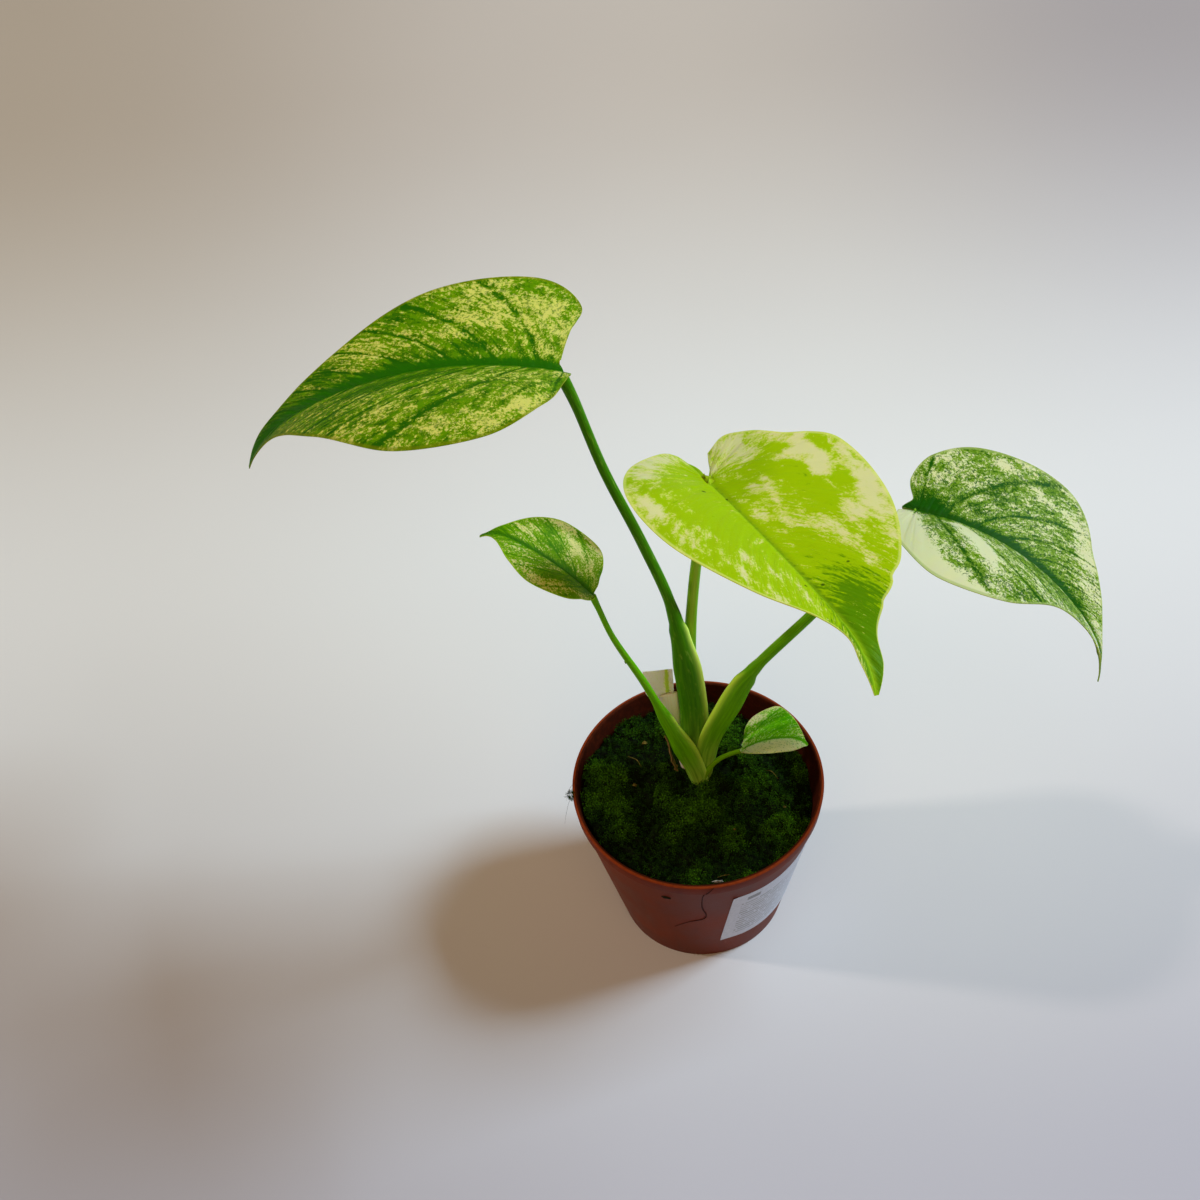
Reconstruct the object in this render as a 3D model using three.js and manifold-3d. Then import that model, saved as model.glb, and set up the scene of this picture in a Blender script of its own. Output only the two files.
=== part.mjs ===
// A young variegated monstera in a small round nursery pot.
// Millimetres, +Z up, +X to the right and +Y to the back, origin at the centre of the pot's underside.
import * as THREE from 'three';
import { mergeVertices } from 'three/addons/utils/BufferGeometryUtils.js';
import Module from 'manifold-3d';

const wasm = await Module();
wasm.setup();

// The pot, a thin moulded shell with a collar round its rim, a foot ring and drain holes
const POT_HEIGHT = 70;
const POT_FOOT_RADIUS = 30;
const POT_LIP_RADIUS = 45;
const POT_WALL = 1.3;
const COLLAR_OVERHANG = 1.4;
const COLLAR_DEPTH = 5.5;
const COLLAR_TAPER = 0.6;
const COLLAR_STEP = 0.3;
const LIP_WIDTH = 1.7;
const LIP_ROUNDING = 0.5;
const FOOT_RING_WIDTH = 2.6;
const FOOT_RECESS = 1.6;
const FOOT_ROUNDING = 0.6;
const FLOOR_FILLET = 1.2;
const FOOT_PAD_RADIUS = 10;
const FLOOR_THICKNESS = 1.6;
const DRAIN_HOLES = 8;
const DRAIN_HOLE_RADIUS = 3;
const DRAIN_HOLE_SIDES = 12;
const DRAIN_RING_RADIUS = 18.5;
const POT_SIDES = 48;

// The sticker, a straight-sided sheet put on the pot's wall a little askew
const LABEL_WIDTH = 44;
const LABEL_TALL = 40.5;
const LABEL_AZIMUTH_DEG = -47;
const LABEL_MIDDLE = 34.7;
const LABEL_ASKEW_DEG = 2.2;
const LABEL_THICKNESS = 0.6;
const LABEL_COLUMNS = 18;
const LABEL_ROWS = 4;

// The fill of the pot
const GAP = 0.3;
const SOIL_TOP = 50;
const MOSS_EDGE = 60.5;
const MOSS_CROWN = 3.5;
const MOSS_TILT = 4;
const MOSS_LOW_SIDE_DEG = 30;
const MOSS_EDGE_DIP = 2.5;
const MOSS_TUFT = 1.3;
const MOSS_TUFT_SPACING = 11;
const MOSS_WANDER = 1.3;
const MOSS_WANDER_SPACING = 25;
const MOSS_RINGS = 15;
const MOSS_SPOKES = 56;

// The short stem that every leaf stalk grows from
const STEM_FOOT = [0.2, 6.6, 30];
const STEM_MIDDLE = [-0.4, 7, 46];
const STEM_TOP = [0.3, 7.4, 62];
const STEM_RADIUS = 4.6;
// Its girth along it, swollen at two nodes: [share of its length, share of its radius]
const STEM_GIRTH = [[0, 0.5], [0.2, 0.86], [0.3, 1], [0.4, 0.9], [0.6, 0.9], [0.7, 1.06], [0.8, 0.92], [0.94, 0.8],
  [1, 0.45]];

// Leaf blades: thin and leathery, softly waved at the margin, with a midrib that stands out below
const BLADE_THICKNESS = 0.7;
const BLADE_WAVE = 0.5;
const BLADE_WAVES = 4;
// The side veins leave the midrib closer together near the notch, and bow back before the margin
const VEIN_CROWDING = 1.5;
const VEIN_BOW = 0.12;
const COLUMN_CROWDING = 1.5;
const RIB_TAPER = 0.8;
// Where along the blade the drip tip bends down, and where the fold along the midrib opens out
const TIP_FROM = 0.7;
const FOLD_OPENS_FROM = 0.75;
const FOLD_LEFT_AT_TIP = 0.5;
const MIDRIB_STEPS = 60;
const CROSS_STEPS = 8;

// Each leaf. at: the notch where the stalk meets the blade. heading, pitch and roll: how the blade is held.
// droop, tipDroop, sway, twist: how the midrib bends over its length. rise: how steeply each half leaves the
// midrib, left then right seen from the notch. curl: how far each half bends back down by its margin.
// left, right: the margin from the notch to the tip, [along, across] the midrib in millimetres.
// stalk: the stalk's route from the stem, and its half widths [share of the route, side to side, front to back].
const LEAVES = {
  tall_left: {
    length: 119, at: [-34, 50, 232], heading: 167, pitch: -9, roll: 22,
    droop: 54, tipDroop: 26, sway: 0, twist: -15, rise: [21, 20], curl: [40, 0],
    left: [[0, 5], [-1, 18], [3, 35], [18, 50.5], [49.5, 50], [78.5, 29.5], [98.5, 11], [111, 5], [119, 0.7]],
    right: [[2, 3.5], [-1, 20], [0.5, 32], [15.5, 40.5], [44, 34], [75, 17], [97, 7], [110, 4.5], [119, 0.7]],
    columns: 7, rows: 20, ribHeight: 1.7,
    stalk: [[-0.2, 8.6, 60], [-0.2, 9.6, 80], [0.1, 13, 101], [-4.9, 24, 140], [-13, 32, 165],
      [-24, 41, 194], [-31.4, 47.8, 220], [-33.8, 50.4, 231.6]],
    sizes: [[0, 3.4, 3], [0.12, 4.8, 3.4], [0.3, 4.8, 3], [0.4, 3.2, 2.5], [0.48, 1.9, 1.9], [0.9, 1.7, 1.7],
      [1, 2, 2]],
    colour: 0x7fa52a,
  },
  lime: {
    length: 110, at: [8, 15, 213], heading: -67, pitch: -17, roll: -15,
    droop: 9, tipDroop: 60, sway: 3, twist: -1, rise: [22, 25], curl: [11, 35],
    left: [[-13.5, 7], [-18, 18], [-7, 32], [10, 44], [42.5, 41], [71, 28], [90.5, 8], [102.5, 4], [110, 0.7]],
    right: [[-12, 1.7], [-15, 11.5], [-6, 26], [11, 34], [42.5, 33.5], [70.5, 22.5], [88.5, 4.5], [100.5, 3],
      [110, 0.7]],
    columns: 7, rows: 20, ribHeight: 1.7,
    stalk: [[0.4, 12.6, 60], [0.3, 14.6, 71], [-0.1, 19, 93.5], [0.6, 23.5, 117], [2.4, 24.5, 144], [4.2, 23.5, 165],
      [6.6, 20.5, 190], [7.4, 17.4, 205], [7.9, 15.6, 212.6]],
    sizes: [[0, 2.6, 2.2], [0.3, 2.3, 2.1], [0.55, 1.9, 1.8], [0.9, 1.6, 1.6], [1, 2, 2]],
    colour: 0xa9cf2c,
  },
  right: {
    length: 90, at: [76.5, 20, 184], heading: -19, pitch: 2, roll: -25,
    droop: 65, tipDroop: 30, sway: -5, twist: -6, rise: [29, 15], curl: [0, 40],
    left: [[-2, 5], [-4.5, 13], [0, 24], [14, 33], [41, 34], [59, 19], [74.5, 5.5], [83, 1], [90, 0.5]],
    right: [[-2, 2.4], [-3, 11.5], [-0.5, 28.5], [13.5, 37], [37.5, 34], [55.5, 17], [74.5, 6], [83, 1], [90, 0.5]],
    columns: 7, rows: 18, ribHeight: 1.5,
    stalk: [[2.2, 6.8, 60], [5.2, 7.5, 84], [12, 8.5, 101], [19.5, 10, 116.7], [41.8, 14, 142.4],
      [59.5, 17.4, 163], [71.4, 19.2, 177.4], [76, 20.2, 183.4]],
    sizes: [[0, 2.8, 2.6], [0.14, 3.9, 3], [0.3, 4.5, 3], [0.38, 4, 2.7], [0.46, 2.1, 1.9], [0.92, 1.5, 1.5],
      [1, 1.9, 1.9]],
    colour: 0x4f8a3c,
  },
  small_left: {
    length: 45, at: [-31, 12, 165], heading: 143, pitch: -38, roll: 25,
    droop: 32, tipDroop: 56, sway: 1, twist: -15, rise: [26, 6], curl: [40, 2],
    left: [[1, 0.6], [-0.4, 3.5], [1.2, 9], [8, 14], [21.5, 16], [30.5, 12], [38, 4], [42, 1.7], [45, 0.4]],
    right: [[1, 2.8], [-0.4, 7], [1.2, 14], [7.5, 19], [21, 18.5], [30, 13.5], [38, 4], [41.5, 1], [45, 0.4]],
    columns: 5, rows: 14, ribHeight: 0.9,
    stalk: [[-1.6, 4.6, 60], [-4.8, 5, 84], [-10.4, 6.4, 102], [-16.2, 8, 119], [-26, 10.6, 145.8],
      [-29.8, 12, 158.4], [-30.8, 12, 164.6]],
    sizes: [[0, 3.2, 2.5], [0.2, 3.8, 2.6], [0.36, 2.7, 2], [0.5, 1.4, 1.3], [0.92, 1, 1], [1, 1.2, 1.2]],
    colour: 0x6f9c3a,
  },
  tiny: {
    length: 26.6, at: [16.7, 8, 75.3], heading: 5, pitch: -40, roll: -25,
    droop: 46, tipDroop: 60, sway: -15, twist: 15, rise: [10, 24], curl: [0, 20],
    left: [[0.2, 1], [-0.3, 4.4], [0.7, 8.7], [5.7, 11.8], [15, 12.4], [18.5, 10], [23, 3.2], [24.7, 0.9],
      [26.6, 0.4]],
    right: [[0.4, 0.5], [-0.3, 2.2], [0.7, 5.5], [6, 8], [15, 8.7], [18.6, 7.8], [23.5, 3.2], [25.3, 1.2],
      [26.6, 0.4]],
    columns: 5, rows: 12, ribHeight: 0.6,
    stalk: [[2.6, 3.2, 60], [5.8, 3.6, 70.2], [10.4, 5.6, 74], [16.3, 7.8, 75.1]],
    sizes: [[0, 1.7, 1.5], [0.4, 1.2, 1.1], [0.9, 0.9, 0.9], [1, 0.9, 0.9]],
    colour: 0x55a03c,
  },
};
const STALK_ORDER = ['tall_left', 'right', 'small_left', 'tiny', 'lime'];
const STALK_SIDES = 10;
const STALK_STEPS = 22;

// An old leaf that was cut straight across, and the dried scale at the foot of the left stalks
const CUT_LEAF = {
  length: 10, at: [-8.3, 15.2, 104], heading: 90, pitch: -80, roll: 0,
  droop: 10, tipDroop: 0, sway: 0, twist: 0, rise: [12, 10], curl: [20, 0],
  left: [[-2, 1.9], [-2.6, 4.5], [-1, 7], [2, 8], [6, 8.4], [10, 8.2]],
  right: [[-0.8, 1.5], [-1, 1.8], [0, 2], [2, 2.2], [6, 2.2], [10, 2.2]],
  columns: 4, rows: 6, ribHeight: 0.5,
  stalk: [[-2.4, 10.4, 60], [-5.6, 12, 80], [-7.3, 13.2, 92], [-8.2, 15, 103.8]],
  sizes: [[0, 1.6, 1.4], [0.5, 1.5, 1.3], [1, 1.1, 1]],
  colour: 0xdfe3c0,
};
const DRY_SHEATH = {
  length: 21, at: [-6.8, 5.2, 71], heading: 178, pitch: -78, roll: 0,
  droop: -8, tipDroop: 20, sway: 0, twist: 10, rise: [10, 10], curl: [50, 50],
  left: [[0, 0.8], [3, 1.8], [9, 2.2], [16, 1.4], [21, 0.4]],
  right: [[0, 0.8], [3, 1.7], [9, 1.9], [16, 1.2], [21, 0.4]],
  columns: 3, rows: 8, ribHeight: 0.2,
  colour: 0x8a6a3a,
};

const DEG = Math.PI / 180;
const wallSlope = (POT_LIP_RADIUS - COLLAR_OVERHANG - POT_FOOT_RADIUS) / (POT_HEIGHT - COLLAR_DEPTH);
const wallRadius = (z) => POT_FOOT_RADIUS + wallSlope * z;
const potFloor = FOOT_RECESS + FLOOR_THICKNESS;

// A closed mesh as a solid for joining and cutting, and back
function toSolid(geometry) {
  const bare = geometry.clone();
  bare.deleteAttribute('normal');
  bare.deleteAttribute('uv');
  const merged = mergeVertices(bare, 1e-4);
  return new wasm.Manifold(new wasm.Mesh({
    numProp: 3,
    vertProperties: new Float32Array(merged.attributes.position.array),
    triVerts: new Uint32Array(merged.index.array),
  }));
}

function toGeometry(solid) {
  const mesh = solid.getMesh();
  const geometry = new THREE.BufferGeometry();
  geometry.setAttribute('position', new THREE.BufferAttribute(mesh.vertProperties, 3));
  geometry.setIndex(new THREE.BufferAttribute(mesh.triVerts, 1));
  return geometry;
}

// A cut can leave a crumb beside the piece: only the largest body is the piece
function largest(solid) {
  const bodies = solid.decompose();
  return bodies.reduce((best, body) => (body.volume() > best.volume() ? body : best));
}

function lathe(profile, sides) {
  const points = profile.map(([r, z]) => new THREE.Vector2(r, z));
  return new THREE.LatheGeometry(points, sides).rotateX(Math.PI / 2);
}

// Linear interpolation in a list of rows whose first number rises
function between(rows, t, column) {
  const last = rows.length - 1;
  if (t <= rows[0][0]) return rows[0][column];
  if (t >= rows[last][0]) return rows[last][column];
  const i = rows.findIndex((row) => row[0] >= t);
  const share = (t - rows[i - 1][0]) / (rows[i][0] - rows[i - 1][0]);
  const eased = share * share * (3 - 2 * share);
  return rows[i - 1][column] + (rows[i][column] - rows[i - 1][column]) * eased;
}

// The pot: one turned shell, with drain holes through the raised ring of its floor
function potGeometry() {
  const rim = POT_LIP_RADIUS;
  const underCollar = POT_HEIGHT - COLLAR_DEPTH;
  const inner = (z) => wallRadius(z) - POT_WALL;
  const ring = POT_FOOT_RADIUS - FOOT_RING_WIDTH;
  const profile = [
    [0, 0],
    [FOOT_PAD_RADIUS, 0],
    [FOOT_PAD_RADIUS + FOOT_ROUNDING, FOOT_RECESS],
    [ring - FOOT_ROUNDING, FOOT_RECESS],
    [ring, 0],
    [POT_FOOT_RADIUS - FOOT_ROUNDING, 0],
    [wallRadius(FOOT_ROUNDING), FOOT_ROUNDING],
    [wallRadius(underCollar), underCollar],
    [rim - COLLAR_TAPER, underCollar + COLLAR_STEP],
    [rim, POT_HEIGHT - LIP_ROUNDING],
    [rim - LIP_ROUNDING, POT_HEIGHT],
    [rim - LIP_WIDTH, POT_HEIGHT],
    [rim - LIP_WIDTH - LIP_ROUNDING / 2, POT_HEIGHT - LIP_ROUNDING],
    [inner(underCollar), underCollar],
    [inner(potFloor + FLOOR_FILLET), potFloor + FLOOR_FILLET],
    [inner(potFloor) - FLOOR_FILLET, potFloor],
    [0, potFloor],
  ];
  let shell = toSolid(lathe(profile, POT_SIDES));
  for (let i = 0; i < DRAIN_HOLES; i += 1) {
    const angle = (2 * Math.PI * (i + 0.5)) / DRAIN_HOLES;
    const drill = new THREE.CylinderGeometry(DRAIN_HOLE_RADIUS, DRAIN_HOLE_RADIUS, 3 * potFloor,
      DRAIN_HOLE_SIDES);
    drill.rotateX(Math.PI / 2);
    drill.translate(DRAIN_RING_RADIUS * Math.cos(angle), DRAIN_RING_RADIUS * Math.sin(angle), potFloor / 2);
    shell = shell.subtract(toSolid(drill));
  }
  return toGeometry(shell);
}

// The sticker: a flat sheet rolled on to the wall's cone a gap clear of it, as if the cone were unrolled
// round its apex far below the pot
function labelGeometry() {
  const sheet = new THREE.BoxGeometry(LABEL_WIDTH, 1, LABEL_TALL, LABEL_COLUMNS, 1, LABEL_ROWS);
  sheet.rotateY(-LABEL_ASKEW_DEG * DEG);
  const flare = Math.atan(wallSlope);
  const apex = -POT_FOOT_RADIUS / wallSlope;
  const middle = (LABEL_MIDDLE - apex) / Math.cos(flare);
  const at = sheet.attributes.position;
  for (let i = 0; i < at.count; i += 1) {
    const reach = middle + at.getZ(i);
    const angle = LABEL_AZIMUTH_DEG * DEG + Math.atan2(at.getX(i), reach) / Math.sin(flare);
    const z = apex + Math.hypot(reach, at.getX(i)) * Math.cos(flare);
    const radius = wallRadius(z) + GAP + (0.5 - at.getY(i)) * LABEL_THICKNESS;
    at.setXYZ(i, radius * Math.cos(angle), radius * Math.sin(angle), z);
  }
  return sheet;
}

// A stalk: a cylinder laid along its route, thick where its sheath wraps the stem
function stalkGeometry(route, sizes, sides, steps, extra = 0) {
  const curve = new THREE.CatmullRomCurve3(route.map((p) => new THREE.Vector3(...p)), false, 'centripetal');
  const tube = new THREE.CylinderGeometry(1, 1, 1, sides, steps);
  const at = tube.attributes.position;
  const point = new THREE.Vector3();
  const along = new THREE.Vector3();
  const back = new THREE.Vector3(0, 1, 0);
  for (let i = 0; i < at.count; i += 1) {
    const t = THREE.MathUtils.clamp(at.getY(i) + 0.5, 0, 1);
    curve.getPointAt(t, point);
    curve.getTangentAt(t, along);
    const side = new THREE.Vector3().crossVectors(back, along).normalize();
    const depth = new THREE.Vector3().crossVectors(along, side);
    const end = t === 0 ? -extra : t === 1 ? extra : 0;
    point.addScaledVector(along, end);
    point.addScaledVector(side, at.getX(i) * (between(sizes, t, 1) + extra));
    point.addScaledVector(depth, -at.getZ(i) * (between(sizes, t, 2) + extra));
    at.setXYZ(i, point.x, point.y, point.z);
  }
  return tube;
}

// The short stem, with a swollen ring where each old leaf has fallen
function stemGeometry(extra = 0) {
  const sizes = STEM_GIRTH.map(([t, girth]) => [t, girth * STEM_RADIUS, girth * STEM_RADIUS]);
  return stalkGeometry([STEM_FOOT, STEM_MIDDLE, STEM_TOP], sizes, STALK_SIDES, STALK_STEPS, extra);
}

// A smooth curve through the margin's points
function marginPoint(points, v) {
  const spans = points.length - 1;
  const x = THREE.MathUtils.clamp(v, 0, 1) * spans;
  const i = Math.min(Math.floor(x), spans - 1);
  const t = x - i;
  const pick = (k, axis) => {
    if (k < 0) return 2 * points[0][axis] - points[1][axis];
    if (k > spans) return 2 * points[spans][axis] - points[spans - 1][axis];
    return points[k][axis];
  };
  return [0, 1].map((axis) => {
    const [a, b, c, d] = [-1, 0, 1, 2].map((k) => pick(i + k, axis));
    return 0.5 * (2 * b + (c - a) * t + (2 * a - 5 * b + 4 * c - d) * t * t + (3 * b - a - 3 * c + d) * t ** 3);
  });
}

// The way the midrib runs where it has bent down by one angle and aside by another
function alongMidrib(drop, sway) {
  return new THREE.Vector3(Math.cos(drop) * Math.cos(sway), Math.cos(drop) * Math.sin(sway), -Math.sin(drop));
}

// The midrib's places and bends from the notch to the tip
function midribTable(leaf) {
  const table = [];
  const place = new THREE.Vector3();
  let before = null;
  for (let i = 0; i <= MIDRIB_STEPS; i += 1) {
    const s = i / MIDRIB_STEPS;
    const tip = Math.max(0, (s - TIP_FROM) / (1 - TIP_FROM));
    const drop = (leaf.droop * s + leaf.tipDroop * tip * tip) * DEG;
    const sway = leaf.sway * s * DEG;
    const along = alongMidrib(drop, sway);
    if (before) place.addScaledVector(along.clone().add(before), (0.5 * leaf.length) / MIDRIB_STEPS);
    table.push({ place: place.clone(), drop, sway });
    before = along;
  }
  return table;
}

// Bends the flat leaf's point x along and y across into the living blade, and tells which way is up there
function bendPoint(leaf, table, x, y) {
  const s = THREE.MathUtils.clamp(x / leaf.length, 0, 1);
  const k = Math.min(Math.floor(s * (table.length - 1)), table.length - 2);
  const share = s * (table.length - 1) - k;
  const place = table[k].place.clone().lerp(table[k + 1].place, share);
  const drop = THREE.MathUtils.lerp(table[k].drop, table[k + 1].drop, share);
  const sway = THREE.MathUtils.lerp(table[k].sway, table[k + 1].sway, share);
  const along = alongMidrib(drop, sway);
  const flat = new THREE.Vector3(-Math.sin(sway), Math.cos(sway), 0);
  const twist = leaf.twist * s * DEG;
  const up = new THREE.Vector3().crossVectors(along, flat);
  const across = flat.clone().multiplyScalar(Math.cos(twist)).addScaledVector(up, Math.sin(twist));
  const normal = up.multiplyScalar(Math.cos(twist)).addScaledVector(flat, -Math.sin(twist));
  const half = y >= 0 ? 0 : 1;
  const margin = half === 0 ? leaf.left : leaf.right;
  const reach = Math.abs(y) / Math.max(...margin.map((p) => p[1]));
  const opened = Math.max(0, (s - FOLD_OPENS_FROM) / (1 - FOLD_OPENS_FROM));
  const fold = (1 - FOLD_LEFT_AT_TIP * opened) * DEG;
  for (let j = 0; j < CROSS_STEPS; j += 1) {
    const angle = (leaf.rise[half] - leaf.curl[half] * reach * ((j + 0.5) / CROSS_STEPS)) * fold;
    place.addScaledVector(across, (y * Math.cos(angle)) / CROSS_STEPS);
    place.addScaledVector(normal, (Math.abs(y) * Math.sin(angle)) / CROSS_STEPS);
  }
  return place.addScaledVector(along, Math.min(x, 0));
}

// A point of the blade: u across from the right margin to the left, v from the notch to the tip.
// Rows of one v follow the side veins, which leave the midrib and bow out to the margin.
function bladePoint(leaf, table, u, v) {
  const t = Math.abs(u);
  const [edgeX, edgeY] = marginPoint(u >= 0 ? leaf.left : leaf.right, v);
  const bow = VEIN_BOW * leaf.length * t * (1 - t) * 4 * v * (1 - v);
  const x = (1 - t) * v ** VEIN_CROWDING * leaf.length + t * edgeX - bow;
  const point = bendPoint(leaf, table, x, Math.sign(u) * t * edgeY);
  point.z += BLADE_WAVE * u * u * Math.sin(2 * Math.PI * BLADE_WAVES * v) * (1 - v);
  return point;
}

// A blade: the grid of its upper face, the same grid sunk by its thickness, and the margin between them
function bladeGeometry(leaf) {
  const table = midribTable(leaf);
  const across = 2 * leaf.columns;
  const upper = new THREE.PlaneGeometry(2, 1, across, leaf.rows);
  const at = upper.attributes.position;
  const share = [];
  for (let i = 0; i < at.count; i += 1) {
    const flat = at.getX(i);
    const u = Math.sign(flat) * Math.abs(flat) ** COLUMN_CROWDING;
    const v = 0.5 - at.getY(i);
    share.push([u, v]);
    at.setXYZ(i, ...bladePoint(leaf, table, u, v).toArray());
  }
  upper.computeVertexNormals();
  const facing = upper.attributes.normal;
  const positions = new Float32Array(at.count * 6);
  for (let i = 0; i < at.count; i += 1) {
    const top = new THREE.Vector3().fromBufferAttribute(at, i);
    const down = new THREE.Vector3().fromBufferAttribute(facing, i).negate();
    const [u, v] = share[i];
    const rib = Math.abs(u) < 1e-6 ? leaf.ribHeight * (1 - v) ** RIB_TAPER : 0;
    top.toArray(positions, 3 * i);
    top.addScaledVector(down, BLADE_THICKNESS + rib).toArray(positions, 3 * (at.count + i));
  }
  const index = [];
  const add = (...corners) => index.push(...corners);
  const grid = upper.index.array;
  for (let i = 0; i < grid.length; i += 3) {
    add(grid[i], grid[i + 1], grid[i + 2]);
    add(at.count + grid[i], at.count + grid[i + 2], at.count + grid[i + 1]);
  }
  const border = [];
  for (let i = 0; i < across; i += 1) border.push(i);
  for (let i = 0; i < leaf.rows; i += 1) border.push(i * (across + 1) + across);
  for (let i = across; i > 0; i -= 1) border.push(leaf.rows * (across + 1) + i);
  for (let i = leaf.rows; i > 0; i -= 1) border.push(i * (across + 1));
  border.forEach((a, i) => {
    const b = border[(i + 1) % border.length];
    add(a, b, at.count + b);
    add(a, at.count + b, at.count + a);
  });
  const blade = new THREE.BufferGeometry();
  blade.setAttribute('position', new THREE.BufferAttribute(positions, 3));
  blade.setIndex(index);
  return blade;
}

// The potting soil: it fills the pot up to the moss
function soilGeometry() {
  const low = potFloor + GAP;
  const edge = (z) => wallRadius(z) - POT_WALL - GAP;
  const corner = low + FLOOR_FILLET;
  const profile = [
    [0, low],
    [edge(low) - FLOOR_FILLET, low],
    [edge(corner), corner],
    [edge(SOIL_TOP), SOIL_TOP],
    [0, SOIL_TOP],
  ];
  return lathe(profile, POT_SIDES);
}

// The moss: a cushion whose top is raised into rounded tufts, lower to the right and by the wall
function mossHeight(x, y) {
  const share = Math.hypot(x, y) / POT_LIP_RADIUS;
  const low = MOSS_LOW_SIDE_DEG * DEG;
  const tilt = (MOSS_TILT * (x * Math.cos(low) + y * Math.sin(low))) / POT_LIP_RADIUS;
  const pitch = (2 * Math.PI) / MOSS_TUFT_SPACING;
  const wander = (at) => MOSS_WANDER * Math.sin((2 * Math.PI * at) / MOSS_WANDER_SPACING);
  const tufts = Math.sin(pitch * x + wander(y)) * Math.sin(pitch * y + wander(x));
  const dip = MOSS_EDGE_DIP * share ** 10;
  return MOSS_EDGE + MOSS_CROWN * (1 - share * share) - tilt + MOSS_TUFT * tufts - dip;
}

function mossGeometry() {
  const low = SOIL_TOP + GAP;
  const edge = (z) => wallRadius(z) - POT_WALL - GAP;
  const profile = [[0, low], [edge(low), low]];
  for (let i = MOSS_RINGS; i >= 0; i -= 1) profile.push([(edge(MOSS_EDGE) * i) / MOSS_RINGS, MOSS_EDGE]);
  const cushion = lathe(profile, MOSS_SPOKES);
  const at = cushion.attributes.position;
  for (let i = 0; i < at.count; i += 1) {
    if (at.getZ(i) < MOSS_EDGE - 1e-3) continue;
    const z = mossHeight(at.getX(i), at.getY(i));
    const spread = edge(z) / edge(MOSS_EDGE);
    at.setXYZ(i, at.getX(i) * spread, at.getY(i) * spread, z);
  }
  return cushion;
}

// A blade held at its place, or moved back along its midrib and down by a clearance
function placedBlade(leaf, back = 0, below = 0) {
  const turn = new THREE.Euler(leaf.roll * DEG, leaf.pitch * DEG, leaf.heading * DEG, 'ZYX');
  const blade = bladeGeometry(leaf).translate(-back, 0, -below);
  blade.applyMatrix4(new THREE.Matrix4().makeRotationFromEuler(turn));
  blade.translate(...leaf.at);
  return blade;
}

const group = new THREE.Group();
function addPiece(name, geometry, color, roughness) {
  const mesh = new THREE.Mesh(geometry, new THREE.MeshStandardMaterial({ color, roughness, metalness: 0 }));
  mesh.name = name;
  group.add(mesh);
}

// Stem and stalks in the order they wrap each other: each is cut a gap clear of those inside it
const clearances = [toSolid(stemGeometry(GAP))];
addPiece('stem', stemGeometry(), 0x8a8f4a, 0.6);

// The blade where it lies, and a gap back towards the stalk and below: the stalk's end is cut to seat it
const SEAT_OFFSETS = [[0, 0], [GAP, 0], [0, GAP], [GAP, GAP]];

function addStalk(name, leaf) {
  let stalk = toSolid(stalkGeometry(leaf.stalk, leaf.sizes, STALK_SIDES, STALK_STEPS));
  const seats = SEAT_OFFSETS.map(([back, below]) => toSolid(placedBlade(leaf, back, below)));
  [...clearances, ...seats].forEach((inner) => {
    stalk = stalk.subtract(inner);
  });
  addPiece(name, toGeometry(largest(stalk)), 0x7fa83c, 0.45);
  clearances.push(toSolid(stalkGeometry(leaf.stalk, leaf.sizes, STALK_SIDES, STALK_STEPS, GAP)));
}
STALK_ORDER.forEach((name) => addStalk(`petiole_${name}`, LEAVES[name]));
addStalk('cut_leaf_stalk', CUT_LEAF);

// The blades
Object.entries(LEAVES).forEach(([name, leaf]) => addPiece(`blade_${name}`, placedBlade(leaf), leaf.colour, 0.4));
addPiece('cut_leaf', placedBlade(CUT_LEAF), CUT_LEAF.colour, 0.6);

// The dried scale lies against the stalks and is cut a gap clear of them
const scale = clearances.reduce((piece, inner) => piece.subtract(inner), toSolid(placedBlade(DRY_SHEATH)));
addPiece('dry_sheath', toGeometry(largest(scale)), DRY_SHEATH.colour, 0.8);

// The pot and its fill, with plain holes where the stalks stand
function withHoles(geometry) {
  let fill = toSolid(geometry);
  clearances.forEach((hole) => {
    fill = fill.subtract(hole);
  });
  return toGeometry(largest(fill));
}
addPiece('pot', potGeometry(), 0xa34a26, 0.4);
addPiece('label', labelGeometry(), 0xe9ebee, 0.6);
addPiece('soil', withHoles(soilGeometry()), 0x1d150f, 1);
addPiece('moss', withHoles(mossGeometry()), 0x1d3a10, 1);

export default group;
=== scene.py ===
# A young variegated monstera in a small round nursery pot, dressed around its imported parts.
# Metres, +Z up, +X to the right and +Y to the back, origin at the centre of the pot's underside.
import math
import random

import bmesh
import bpy
from mathutils import Euler, Matrix, Vector, noise


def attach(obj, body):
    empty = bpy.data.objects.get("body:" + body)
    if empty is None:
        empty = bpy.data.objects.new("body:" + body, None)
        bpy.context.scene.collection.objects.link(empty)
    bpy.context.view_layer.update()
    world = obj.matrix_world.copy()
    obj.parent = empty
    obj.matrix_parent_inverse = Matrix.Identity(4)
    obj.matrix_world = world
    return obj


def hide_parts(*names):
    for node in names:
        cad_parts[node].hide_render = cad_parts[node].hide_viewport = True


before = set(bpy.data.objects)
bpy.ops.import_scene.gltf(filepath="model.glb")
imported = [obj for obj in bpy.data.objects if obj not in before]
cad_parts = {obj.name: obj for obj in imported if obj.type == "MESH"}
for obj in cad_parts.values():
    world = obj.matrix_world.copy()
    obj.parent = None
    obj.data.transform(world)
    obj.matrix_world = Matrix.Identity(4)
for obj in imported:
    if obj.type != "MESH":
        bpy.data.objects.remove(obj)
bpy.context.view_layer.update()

# The pot: a thin nursery pot moulded in one piece of terracotta-coloured plastic. It has a collar round
# its rim and stands on a foot ring and a pad, with eight drain holes through the floor between them.
MM = 0.001
POT_HEIGHT = 70 * MM
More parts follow.
